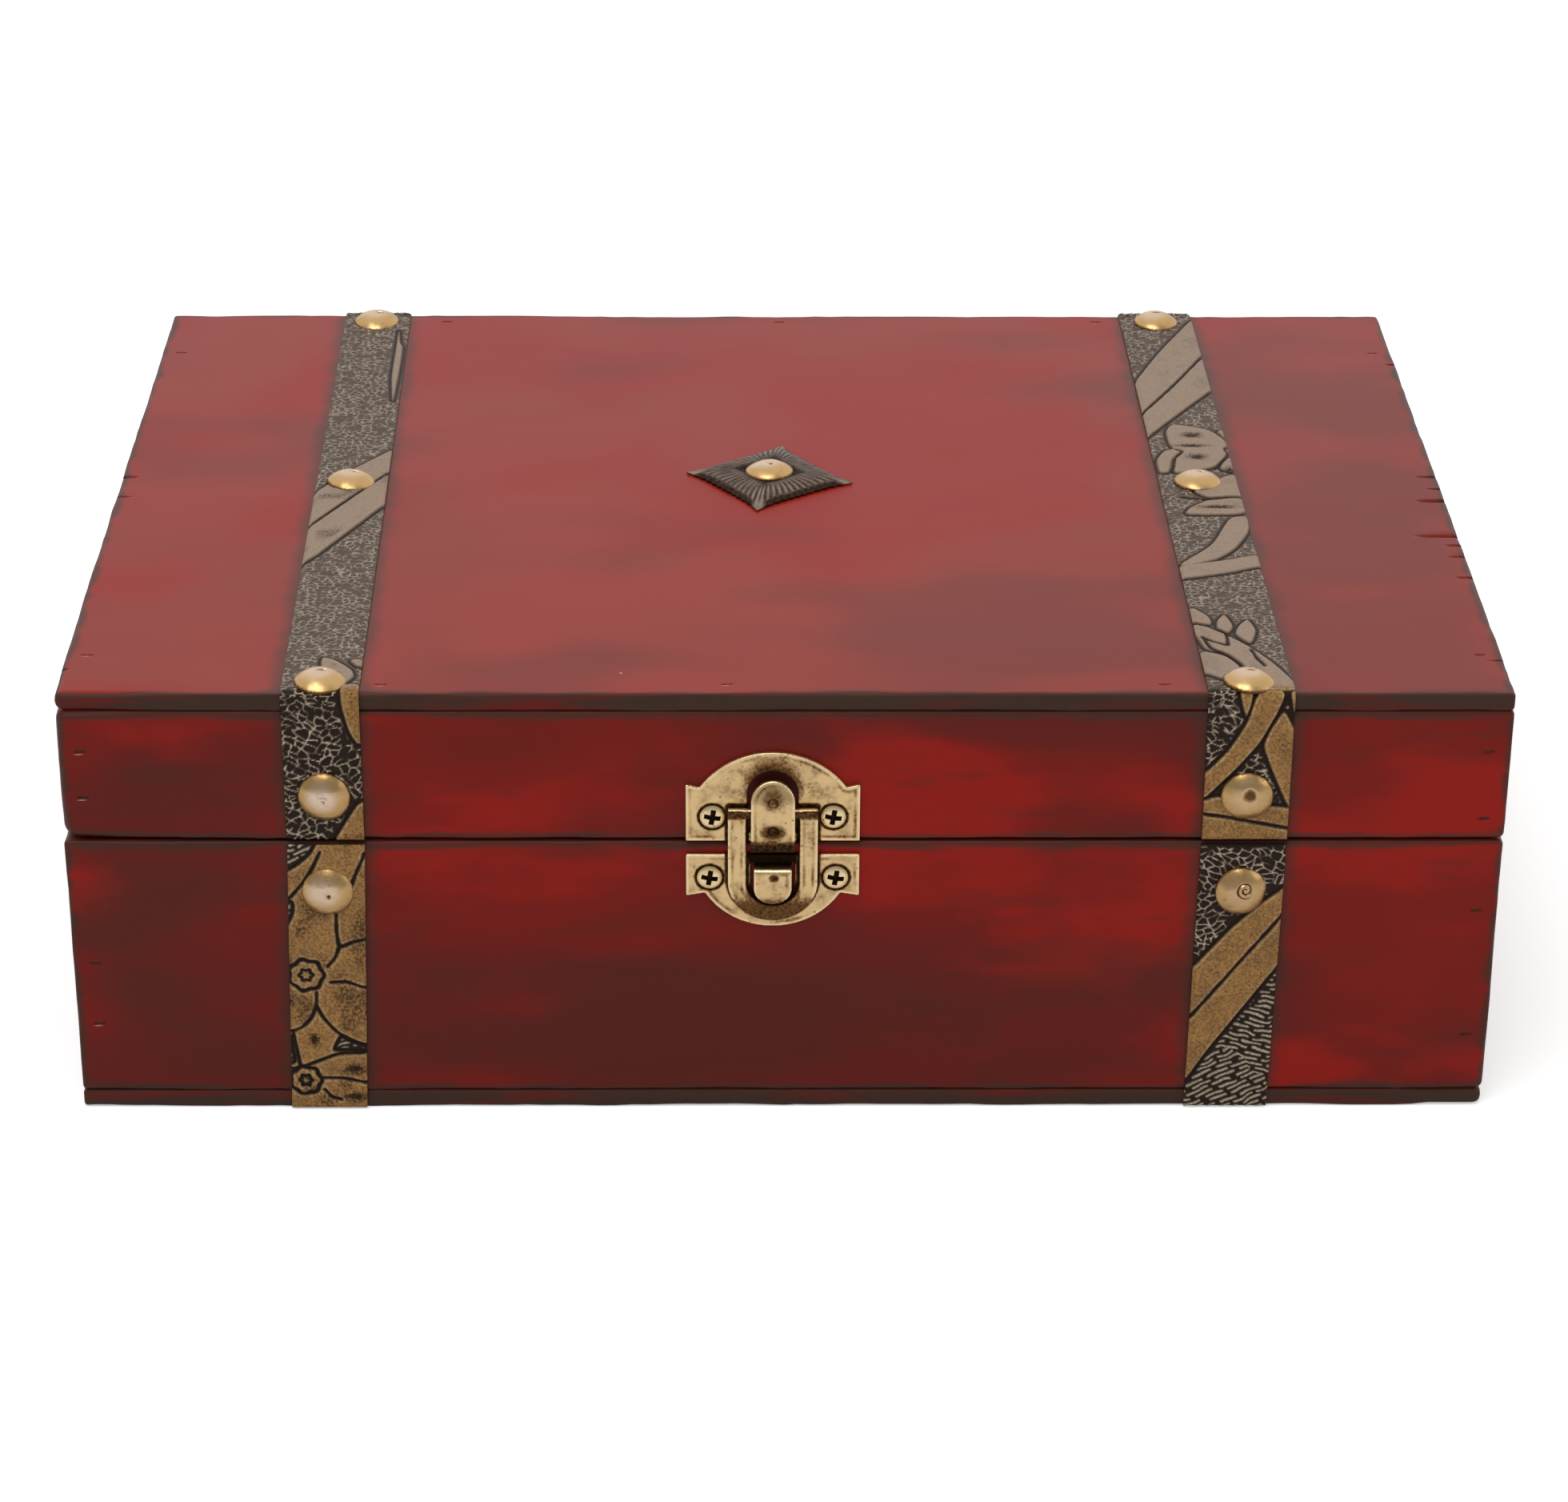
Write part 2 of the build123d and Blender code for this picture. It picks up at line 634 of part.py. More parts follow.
tongue_fold = (tongue_stand - latch_metal / 2) / 2 - fold_flat / 2
tongue_root = lid_plate_low + latch_metal + lance_gap
tongue_low = lid_plate_low + latch_metal / 2 - tongue_fold
tongue_tip = hasp_z + tongue_tip_rise
tongue = bent_strip(
    (
        (latch_metal / 2, tongue_root),
        (latch_metal / 2, tongue_low),
        (tongue_stand, tongue_low),
        (tongue_stand, tongue_tip - tongue_width / 2),
        (tongue_stand - tongue_tip_lean, tongue_tip + latch_metal / 2),
    ),
    (tongue_fold, tongue_fold, tongue_tip_bend),
    tongue_width,
    tongue_low - latch_metal,
    tongue_tip,
)
with BuildPart() as latch_lid_plate:
    lid_plate = plate_outline(lid_plate_low, 1, lid_plate_ear, lid_plate_arch, lid_plate_rise)
    extrude(lid_plate, amount=latch_metal)
    window = round_ended(tongue_width + 2 * lance_gap, tongue_root, tongue_tip + 2 * lance_gap)
    extrude(window, amount=latch_metal, mode=Mode.SUBTRACT)
    add(tongue)
    tongue_inner = -half_depth - tongue_stand + latch_metal / 2
    for z in (hasp_z - dimple_spacing, hasp_z + dimple_spacing):
        with Locations((latch_x, tongue_inner, z)):
            Sphere(dimple_radius)
        with Locations((latch_x, tongue_inner - latch_metal, z)):
            Sphere(dimple_radius * dimple_hollow, mode=Mode.SUBTRACT)
    drill_countersunk(front_face.offset(latch_metal), lid_screws_at, screw_shank, screw_mouth, latch_metal)
finish(latch_lid_plate.part, "latch_lid_plate")

catch_out = latch_metal + catch_stand + latch_metal / 2
catch = bent_strip(
    (
        (latch_metal / 2, catch_root + latch_metal),
        (latch_metal / 2, catch_root - latch_metal / 2),
        (catch_out, catch_root - latch_metal),
        (catch_out, catch_tip + catch_width / 2),
        (catch_out - catch_lean, catch_tip - latch_metal / 2),
    ),
    (catch_bend, catch_bend, catch_tip_bend),
    catch_width,
    base_plate_top,
    catch_tip,
)
with BuildPart() as latch_base_plate:
    base_plate = plate_outline(base_plate_top, -1, base_plate_ear, base_plate_arch, base_plate_rise)
    extrude(base_plate, amount=latch_metal)
    window = round_ended(catch_width + 2 * lance_gap, catch_root, catch_tip - lance_gap)
    extrude(window, amount=latch_metal, mode=Mode.SUBTRACT)
    add(catch)
    drill_countersunk(front_face.offset(latch_metal), base_screws_at, screw_shank, screw_mouth, latch_metal)
finish(latch_base_plate.part, "latch_base_plate")

# Ring hasp: a flat ring whose foot bends in under the catch and whose neck turns in the tongue
window_width = tongue_width + 2 * tongue_side_gap
window_low = catch_tip - catch_tip_gap
hasp_low = window_low - hasp_bar
hasp_high = hasp_z + hasp_shoulder
with BuildPart() as hasp:
    with BuildSketch(latch_side):
        with BuildLine():
            FilletPolyline(
                (hasp_stand, hasp_high),
                (hasp_stand, window_low + hasp_bar),
                (hasp_stand - hasp_bend, window_low),
                (hasp_stand - hasp_bend, hasp_low),
                radius=hasp_foot_bend,
            )
        trace(line_width=hasp_metal)
    extrude(amount=hasp_width / 2, both=True)
    extrude(round_ended(hasp_width, hasp_high, hasp_low), amount=latch_reach, mode=Mode.INTERSECT)
    ring_window = round_ended(window_width, hasp_high + hasp_shoulder, window_low)
    extrude(ring_window, amount=latch_reach, mode=Mode.SUBTRACT)
    with BuildSketch(Plane.YZ.offset(latch_x)):
        with Locations((-half_depth - hasp_stand, hasp_z)):
            Circle(hasp_journal / 2)
    extrude(amount=(window_width + hasp_metal) / 2, both=True)
finish(hasp.part, "hasp")


# Screws with oval heads, countersunk in their plates
def oval_screw(head, crown, shank, length):
    """One screw with the rim of its head at Z = 0 and a cross recess in its crown."""
    with BuildPart() as screw:
        with BuildSketch(Plane.XZ):
            with BuildLine():
                cone_depth = (head - shank) / 2 / tan(radians(screw_angle / 2))
                Polyline(
                    (0, crown),
                    (0, -length),
                    (shank / 2, -length + shank),
                    (shank / 2, -cone_depth),
                    (head / 2, 0),
                )
                ThreePointArc((head / 2, 0), (head / 4, cap(head / 4, head / 2, crown)), (0, crown))
            make_face()
        revolve(axis=Axis.Z)
        with BuildSketch(Plane.XY.offset(crown - screw_recess)):
            Rectangle(head * cross_share, screw_slot)
            Rectangle(screw_slot, head * cross_share)
        extrude(amount=2 * screw_recess, taper=-screw_recess_taper, mode=Mode.SUBTRACT)
    return screw.part


latch_screw = oval_screw(screw_head, screw_crown, screw_shank, screw_length)
hinge_screw = oval_screw(hinge_screw_head, hinge_screw_crown, hinge_screw_shank, hinge_screw_length)
for name, face, spots, screw in (
    ("latch_lid_screws", front_face.offset(latch_metal), lid_screws_at, latch_screw),
    ("latch_base_screws", front_face.offset(latch_metal), base_screws_at, latch_screw),
    ("hinge_lid_screws", back_face.offset(hinge_metal), lid_hinge_screws_at, hinge_screw),
    ("hinge_base_screws", back_face.offset(hinge_metal), base_hinge_screws_at, hinge_screw),
):
    with BuildPart() as screw_set:
        add(set_out(face, spots, screw))
    finish(screw_set.part, name)


# Hinges: two leaves whose rolled knuckles share a pin behind the seam
def hinge_leaf_part(x, up, turns, bore_radius):
    """A leaf above or below the seam, with knuckles in the named turns along the pin."""
    knuckle_length = (hinge_length - (knuckle_count - 1) * knuckle_gap) / knuckle_count
    leaf_start = knuckle_radius + leaf_relief
    with BuildPart() as leaf:
        with BuildSketch(back_face):
            with Locations((-x, seam_height + up * (leaf_start + hinge_leaf) / 2)):
                RectangleRounded(hinge_length, hinge_leaf - leaf_start, leaf_relief)
        extrude(amount=hinge_metal)
        for turn in turns:
            middle = x - hinge_length / 2 + knuckle_length / 2 + turn * (knuckle_length + knuckle_gap)
            with BuildSketch(Plane.YZ.offset(middle)):
                with Locations((half_depth + barrel_stand, seam_height)):
                    Circle(knuckle_radius)
                with Locations((half_depth + hinge_metal / 2, seam_height + up * (leaf_start + leaf_relief))):
                    Rectangle(hinge_metal, 2 * leaf_relief)
                make_hull()
            extrude(amount=knuckle_length / 2, both=True)
        with BuildSketch(Plane.YZ.offset(x)):
            with Locations((half_depth + barrel_stand, seam_height)):
                Circle(bore_radius)
        extrude(amount=hinge_length / 2, both=True, mode=Mode.SUBTRACT)
        spots = [
            (-x + side * hinge_screw_spacing / 2, seam_height + up * hinge_screw_drop) for side in (-1, 1)
        ]
        drill_countersunk(back_face.offset(hinge_metal), spots, hinge_screw_shank, hinge_mouth, hinge_metal)
    return leaf.part


for name, x in (("left", -hinge_x), ("right", hinge_x)):
    with BuildPart() as hinge_base_leaf:
        add(hinge_leaf_part(x, -1, range(0, knuckle_count, 2), pin_radius))
    finish(hinge_base_leaf.part, f"hinge_base_leaf_{name}")

    with BuildPart() as hinge_lid_leaf:
        add(hinge_leaf_part(x, 1, range(1, knuckle_count, 2), pin_radius + pin_clearance))
    finish(hinge_lid_leaf.part, f"hinge_lid_leaf_{name}")

    with BuildPart() as hinge_pin:
        with BuildSketch(Plane.YZ.offset(x)):
            with Locations((half_depth + barrel_stand, seam_height)):
                Circle(pin_radius)
        extrude(amount=hinge_length / 2 + pin_head, both=True)
        for side in (-1, 1):
            with BuildSketch(Plane.YZ.offset(x + side * hinge_length / 2)):
                with Locations((half_depth + barrel_stand, seam_height)):
                    Circle(pin_head_radius)
            extrude(amount=side * pin_head)
    finish(hinge_pin.part, f"hinge_pin_{name}")
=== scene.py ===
import itertools
import json
import math

import bmesh
import bpy
import numpy as np
from bpy.props import FloatProperty, FloatVectorProperty, IntProperty, PointerProperty
from mathutils import Matrix, Vector
from mathutils.kdtree import KDTree

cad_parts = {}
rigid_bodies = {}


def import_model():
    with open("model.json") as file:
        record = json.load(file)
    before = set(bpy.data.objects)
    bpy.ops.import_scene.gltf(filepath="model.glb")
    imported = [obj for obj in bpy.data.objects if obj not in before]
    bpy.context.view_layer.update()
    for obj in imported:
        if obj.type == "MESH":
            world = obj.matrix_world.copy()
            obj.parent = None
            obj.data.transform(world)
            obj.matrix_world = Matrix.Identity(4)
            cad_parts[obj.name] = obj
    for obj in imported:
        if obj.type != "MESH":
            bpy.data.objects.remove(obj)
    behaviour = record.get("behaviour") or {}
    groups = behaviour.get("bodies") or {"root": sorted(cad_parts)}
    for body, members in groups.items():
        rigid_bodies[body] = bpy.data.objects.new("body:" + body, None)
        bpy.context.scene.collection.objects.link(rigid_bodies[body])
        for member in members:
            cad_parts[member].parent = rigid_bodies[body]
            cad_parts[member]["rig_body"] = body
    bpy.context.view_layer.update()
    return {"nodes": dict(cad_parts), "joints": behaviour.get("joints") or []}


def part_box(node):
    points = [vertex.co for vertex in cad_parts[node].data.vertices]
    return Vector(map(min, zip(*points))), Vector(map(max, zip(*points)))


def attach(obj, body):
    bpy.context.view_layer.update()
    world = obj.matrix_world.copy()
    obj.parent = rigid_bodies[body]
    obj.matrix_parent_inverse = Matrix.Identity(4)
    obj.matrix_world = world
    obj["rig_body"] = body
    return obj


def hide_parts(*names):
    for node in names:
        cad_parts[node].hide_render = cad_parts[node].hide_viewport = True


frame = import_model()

bl_info = {
    "name": "Keepsake Chest",
    "version": (1, 0, 0),
    "blender": (4, 5, 0),
    "location": "View3D > Sidebar > Chest",
    "description": "Builds the looks of a small wooden keepsake chest around its packed frame",
    "category": "Object",
}

# Millimetres are used throughout, and turned into metres where a mesh is made
MM = 0.001


def node_box(name):
    """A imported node's lowest and highest corners, in millimetres."""
    low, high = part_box(name)
    return np.array(low) / MM, np.array(high) / MM


def srgb(red, green, blue):
    """A colour as it looks on a screen, from 0 to 255, turned into the linear values that shaders use."""
    def linear(value):
        value /= 255
        return value / 12.92 if value <= 0.04045 else ((value + 0.055) / 1.055) ** 2.4

    return (linear(red), linear(green), linear(blue))


def colour(name, description, red, green, blue):
    """A colour that a user can change."""
    return FloatVectorProperty(
        name=name, description=description, default=srgb(red, green, blue), min=0, max=1, subtype="COLOR"
    )


# The outside of the box and the seam, read from the frame
panel_low, panel_high = node_box("top_panel")
floor_low, floor_high = node_box("bottom_panel")
base_low, base_high = node_box("base_front_board")
front_y, back_y = panel_low[1], panel_high[1]
box_top = panel_high[2]
strap_top = node_box("lid_strap_left")[1][2]
strap_thick = strap_top - box_top


# Settings
class ChestWood(bpy.types.PropertyGroup):
    """Sizes and colours of the stained boards."""

    red: colour("Red", "The stain where it lies evenly", 117, 18, 7)
    bright: colour("Bright red", "The stain where it was rubbed thin", 143, 18, 6)
    deep: colour("Deep red", "The stain where it pooled", 97, 22, 15)
    brown: colour("Brown", "Dark smudges over the stain", 72, 31, 22)
    # Painted light: the top's colour is paler partly from fading and partly as a painted sheen and top light.
    faded_and_lit_top: colour("Faded red", "The stain on top, where hands and light have worn it", 160, 50, 37)
    edge: colour("Edge", "Dark varnish on the panels' edges", 60, 40, 31)
    inside: colour("Inside", "Plain wood inside the box", 122, 72, 46)
    # Also painted shade: this dark colour is laid on the wood behind the latch's tongue, seen through the hole in its
    # plate.
    hollow_dirt_and_shade: colour("Hollow", "Dirt in the nicks and brad marks", 40, 20, 16)
    chip: colour("Chip", "Pale filler where the stain has chipped", 196, 168, 150)
    cell: FloatProperty(name="Cell", description="Mesh spacing on a board, mm", default=2.8, min=0.5)
    wear: FloatProperty(name="Wear", description="Rounding of the worn edges, mm", default=0.75, min=0.1)
    wave: FloatProperty(name="Wave", description="Unevenness of the planed faces, mm", default=0.10, min=0)


class ChestStrap(bpy.types.PropertyGroup):
    """Sizes and colours of the tooled straps."""

    ground: colour("Ground", "The dark ground behind the tooling", 38, 27, 20)
    ridge: colour("Ridge", "The pale ridges of the crackled ground", 196, 178, 154)
    raised: colour("Raised", "The tan of the raised pattern", 160, 119, 70)
    worn: colour("Worn", "The rubbed, greyer tan", 128, 97, 62)
    groove: colour("Groove", "The cut lines", 30, 17, 11)
    # The rim colour is a painted highlight along the raised pattern's edges and its cut lines.
    rim: colour("Rim", "The burnished rims of the pattern", 196, 166, 124)
    # Painted sheen: the top colours are paler and greyer than the front ones, partly for dust and partly standing for
    # the sheen that the top catches.
    top_ground: colour("Top ground", "The ground on top, greyed by dust and light", 84, 70, 60)
    top_ridge: colour("Top ridge", "The ridges on top", 176, 163, 148)
    top_raised: colour("Top raised", "The pattern on top", 152, 133, 117)
    top_groove: colour("Top groove", "The cut lines on top", 32, 17, 9)
    cell: FloatProperty(name="Cell", description="Mesh spacing on a lid strap, mm", default=0.185, min=0.1)
    short_cell: FloatProperty(name="Short cell", description="Mesh spacing on a base strap, mm", default=0.14, min=0.1)
    low: FloatProperty(name="Ground height", description="Ground above the wood, mm", default=0.46)
    relief: FloatProperty(name="Relief", description="Height of the raised pattern, mm", default=0.3)
    ridge_height: FloatProperty(name="Ridge height", description="Height of the crackle ridges, mm", default=0.17)
    crackle: FloatProperty(name="Crackle", description="Width of a crackle cell, mm", default=1.15)


class ChestMetal(bpy.types.PropertyGroup):
    """Colours of the brass and pewter."""

    brass: colour("Brass", "Polished antique brass", 226, 194, 142)
    # The polish colour brightens rubbed edges and the screws' crowns, partly as a painted highlight.
    polish: colour("Polish", "Brass rubbed bright along its edges", 248, 224, 176)
    gold: colour("Gold", "The warm brass at the tacks' rims", 196, 160, 108)
    # The crown colour is rubbed wear and also a painted highlight on the tacks' and screws' crowns.
    crown: colour("Crown", "The pale, rubbed crowns of the tacks and screws", 224, 202, 184)
    # The glint colour is a painted highlight on the pewter's ridges, edges and tips.
    glint: colour("Glint", "The pewter's rubbed ridges", 176, 158, 142)
    patina: colour("Patina", "Brown tarnish", 122, 86, 50)
    grime_and_shade: colour("Grime And Shade", "Dark dirt in the corners", 44, 30, 20)
    # The grime colour is dirt and also painted shade: it darkens hollows, rims, and places under and beside other
    # parts.
    pewter: colour("Pewter", "The dull grey-bronze of the diamond", 98, 82, 72)
    soot: colour("Soot", "Dark brown in the pewter's flutes", 62, 46, 38)
    steel: colour("Steel", "The brads' rusted ends", 74, 60, 52)
    cell: FloatProperty(name="Cell", description="Voxel size for the softened sheet metal, mm", default=0.14)
    plate: FloatProperty(name="Plate", description="Thickness of the latch's plates, mm", default=0.8)


class ChestFasteners(bpy.types.PropertyGroup):
    """Sizes of the tack heads and the screw heads."""

    tilt: FloatProperty(
        name="Tilt", description="How far a tack may stand askew", default=math.radians(3.5), subtype="ANGLE"
    )
    seed: IntProperty(name="Seed", description="Seed for the fasteners' turns", default=7)
    rim_drop: FloatProperty(name="Rim drop", description="How far a tack's rim bites into the strap, mm", default=0.3)
    dimple: FloatProperty(name="Dimple", description="Radius of a tack's dimple, mm", default=1.0)


class ChestStage(bpy.types.PropertyGroup):
    """The floor, the light and the camera."""

    floor: colour("Floor", "The pale floor", 236, 236, 236)
    world: FloatProperty(name="Sky", description="Strength of the even light", default=0.58)
    room: FloatProperty(name="Room", description="How bright the room in front looks in the metal", default=0.38)
    key: FloatProperty(name="Key", description="Power of the large lamp above, W", default=6.2)
    fill: FloatProperty(name="Fill", description="Power of the lamp at the right, W", default=1.4)
    pitch: FloatProperty(
        name="Pitch", description="How far the camera looks down", default=math.radians(26.40), subtype="ANGLE"
    )
    yaw: FloatProperty(
        name="Yaw", description="How far the camera looks to the right", default=math.radians(0.71), subtype="ANGLE"
    )
    roll: FloatProperty(
        name="Roll", description="How far the camera leans", default=math.radians(0.30), subtype="ANGLE"
    )
    place: FloatVectorProperty(
        name="Place", description="The camera's place, mm", default=(-7.6, -673.5, 357.1), size=3
    )
    focal: FloatProperty(name="Focal length", description="In image widths", default=5483 / 1960)


# Noise for shapes
HASH = np.array([374761393, 668265263, 1442695041])


def scatter(cells, seed):
    """A repeatable random number from 0 to 1 for each row of whole numbers."""
    mixed = (cells.astype(np.int64) * HASH[: cells.shape[-1]]).sum(-1) + seed * 974711
    mixed = (mixed ^ (mixed >> 13)) * 1274126177
    mixed = mixed ^ (mixed >> 16)
    return (mixed & 0xFFFFFF) / 0xFFFFFF


def soft_noise(points, size, seed=0):
    """Smooth noise from -1 to 1, with bumps of about this size."""
    scaled = points / size
    cell = np.floor(scaled)
    part = scaled - cell
    part = part * part * (3 - 2 * part)
    total = 0
    for corner in itertools.product((0, 1), repeat=points.shape[-1]):
        weight = np.prod(np.where(np.array(corner, bool), part, 1 - part), axis=-1)
        total = total + weight * scatter(cell + corner, seed)
    return 2 * total - 1


def cell_borders(points, size, seed=0):
    """How far each point is from the border between irregular cells, in cell sizes."""
    scaled = points / size
    cell = np.floor(scaled)
    near = np.full(points.shape[:-1], 9.0)
    second = near.copy()
    for shift in itertools.product((-1, 0, 1), repeat=2):
        other = cell + shift
        centre = other + 0.5
        centre[..., 0] += 0.86 * (scatter(other, seed) - 0.5)
        centre[..., 1] += 0.86 * (scatter(other, seed + 1) - 0.5)
        away = np.hypot(*np.moveaxis(scaled - centre, -1, 0))
        second = np.minimum(second, np.maximum(near, away))
        near = np.minimum(near, away)
    return second - near


def ease(low, high, value):
    """0 below low, 1 above high, and smooth between them."""
    share = np.clip((value - low) / (high - low), 0, 1)
    return share * share * (3 - 2 * share)


# Meshes
def write_masks(mesh, masks):
    """A float attribute on a mesh for each named mask."""
    for mask, values in masks.items():
        attribute = mesh.attributes.new(mask, "FLOAT", "POINT")
        attribute.data.foreach_set("value", np.asarray(values, np.float32).ravel())


def make_piece(name, points, faces, material, masks=None, recalculate=True):
    """A smooth mesh piece at the origin from points in millimetres, with a float attribute for each mask."""
    mesh = bpy.data.meshes.new(name)
    mesh.from_pydata((np.asarray(points) * MM).tolist(), [], faces)
    write_masks(mesh, masks or {})
    piece = bpy.data.objects.new(name, mesh)
    bpy.context.scene.collection.objects.link(piece)
    if recalculate:
        outward(mesh)
    mesh.shade_smooth()
    if material:
        mesh.materials.append(material)
    return piece


def outward(mesh):
    """Turn every face of a closed mesh outwards."""
    shell = bmesh.new()
    shell.from_mesh(mesh)
    bmesh.ops.recalc_face_normals(shell, faces=shell.faces)
    shell.to_mesh(mesh)
    shell.free()


def merged_copy(node):
    """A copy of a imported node's mesh with its loose triangles joined, as a bmesh in millimetres."""
    shell = bmesh.new()
    shell.from_mesh(frame["nodes"][node].data)
    bmesh.ops.remove_doubles(shell, verts=shell.verts, dist=1e-6)
    bmesh.ops.scale(shell, vec=(1 / MM,) * 3, verts=shell.verts)
    return shell


def islands(node):
    """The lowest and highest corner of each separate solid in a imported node, in millimetres."""
    shell = merged_copy(node)
    shell.verts.ensure_lookup_table()
    seen, found = set(), []
    for start in shell.verts:
        if start.index in seen:
            continue
        group, waiting = [], [start]
        seen.add(start.index)
        while waiting:
            vert = waiting.pop()
            group.append(vert.co[:])
            for edge in vert.link_edges:
                other = edge.other_vert(vert)
                if other.index not in seen:
                    seen.add(other.index)
                    waiting.append(other)
        corners = np.array(group)
        found.append((corners.min(0), corners.max(0)))
    shell.free()
    return found


def grid_faces(index):
    """Quads over a grid of vertex numbers."""
    corners = [index[:-1, :-1], index[1:, :-1], index[1:, 1:], index[:-1, 1:]]
    return np.stack(corners, -1).reshape(-1, 4)


def box_shell(xs, ys, zs):
    """Points and outward quads on the outside of a box that is cut at these lines."""
    places = np.stack(np.meshgrid(xs, ys, zs, indexing="ij"), -1)
    skin = np.ones(places.shape[:3], bool)
    skin[1:-1, 1:-1, 1:-1] = False
    index = np.full(skin.shape, -1)
    index[skin] = np.arange(skin.sum())
    faces = []
    for axis, high_side in itertools.product(range(3), (False, True)):
        quads = grid_faces(np.take(index, -1 if high_side else 0, axis=axis))
        straight = high_side != (axis == 1)
        faces.append(quads if straight else quads[:, ::-1])
    return places[skin], np.concatenate(faces)


EDGE_STEPS = np.array([0.12, 0.28, 0.48, 0.72, 1.0, 1.35, 1.9])


def cut_lines(low, high, step, closer=()):
    """Where to cut a board from end to end: even steps, closer at the ends and round the named places."""
    count = max(2, round((high - low) / step))
    marks = [np.linspace(low, high, count + 1)]
    if high - low > 2.5 * EDGE_STEPS[-1]:
        marks += [low + EDGE_STEPS, high - EDGE_STEPS]
    else:
        marks += [low + EDGE_STEPS[:4], high - EDGE_STEPS[:4]]
    for place, reach, spacing in closer:
        marks.append(np.arange(place - reach, place + reach + spacing / 2, spacing))
    marks = np.unique(np.round(np.concatenate(marks), 3))
    marks = marks[(marks > low + 0.05) & (marks < high - 0.05)]
    kept = [low]
    for mark in marks:
        if mark - kept[-1] > 0.07:
            kept.append(mark)
    return np.array([*kept, high])


# Shader node helpers
class Graph:
    """Adds nodes to one shader tree and joins them."""

    def __init__(self, tree):
        self.tree = tree

    def feed(self, socket, value):
        """Join a socket to another, or set its value."""
        if isinstance(value, bpy.types.NodeSocket):
            self.tree.links.new(value, socket)
        elif hasattr(value, "__len__") and len(value) == 3 and socket.type == "RGBA":
            socket.default_value = (*value, 1)
        else:
            socket.default_value = value

    def node(self, kind, settings=None, inputs=None):
        """A node with its settings, and its inputs given by name."""
        made = self.tree.nodes.new(kind)
        for key, value in (settings or {}).items():
            setattr(made, key, value)
        for key, value in (inputs or {}).items():
            self.feed(made.inputs[key], value)
        return made

    def math(self, operation, *values):
        made = self.node("ShaderNodeMath", {"operation": operation})
        for socket, value in zip(made.inputs, values):
            self.feed(socket, value)
        return made.outputs[0]

    def times(self, first, second):
        return self.math("MULTIPLY", first, second)

    def line(self, value, slope, start):
        """The value times the slope, plus the start."""
        return self.math("MULTIPLY_ADD", value, slope, start)

    def mix(self, factor, first, second):
        """The first colour, turning into the second as the factor rises to 1."""
        made = self.node("ShaderNodeMix", {"data_type": "RGBA"})
        for place, value in ((0, factor), (6, first), (7, second)):
            self.feed(made.inputs[place], value)
        return made.outputs[2]

    def step(self, value, low, high):
        """0 below low and 1 above high, smooth between them; low may be above high."""
        settings = {"interpolation_type": "SMOOTHSTEP"}
        inputs = {"Value": value, "From Min": low, "From Max": high}
        return self.node("ShaderNodeMapRange", settings, inputs).outputs[0]

    def attribute(self, name):
        return self.node("ShaderNodeAttribute", {"attribute_name": name}).outputs["Fac"]

    def group(self, tree, inputs):
        """One of the shared effects, placed with its own values."""
        made = self.tree.nodes.new("ShaderNodeGroup")
        made.node_tree = tree
        for key, value in inputs.items():
            self.feed(made.inputs[key], value)
        return made.outputs

    def millimetres(self):
        """Places on the piece in millimetres."""
        here = self.node("ShaderNodeTexCoord").outputs["Object"]
        scaled = self.node("ShaderNodeVectorMath", {"operation": "SCALE"}, {"Scale": 1 / MM})
        self.feed(scaled.inputs[0], here)
        return scaled.outputs[0]


def shared_effect(name, inputs, outputs):
    """An empty node group with named inputs and outputs, and its graph."""
    tree = bpy.data.node_groups.new(name, "ShaderNodeTree")
    for label, kind, value in inputs:
        socket = tree.interface.new_socket(name=label, in_out="INPUT", socket_type=kind)
        if value is not None:
            socket.default_value = value
    for label, kind in outputs:
        tree.interface.new_socket(name=label, in_out="OUTPUT", socket_type=kind)
    graph = Graph(tree)
    return tree, graph, graph.node("NodeGroupInput").outputs, graph.node("NodeGroupOutput").inputs


def patches_effect():
    """Soft-edged patches of a chosen size."""
    tree, graph, given, result = shared_effect(
        "Patches",
        [
            ("Place", "NodeSocketVector", None),
            ("Size", "NodeSocketVector", (10, 10, 10)),
            ("Detail", "NodeSocketFloat", 3.0),
            ("Low", "NodeSocketFloat", 0.45),
            ("High", "NodeSocketFloat", 0.6),
            ("Shift", "NodeSocketFloat", 0.0),
        ],
        [("Mask", "NodeSocketFloat")],
    )
    scaled = graph.node("ShaderNodeVectorMath", {"operation": "DIVIDE"})
    graph.feed(scaled.inputs[0], given["Place"])
    graph.feed(scaled.inputs[1], given["Size"])
    cloud = graph.node(
        "ShaderNodeTexNoise", None, {"Vector": scaled.outputs[0], "Scale": 1.0, "Detail": given["Detail"]}
    )
    value = graph.math("ADD", cloud.outputs[0], given["Shift"])
    graph.feed(result["Mask"], graph.step(value, given["Low"], given["High"]))
    return tree


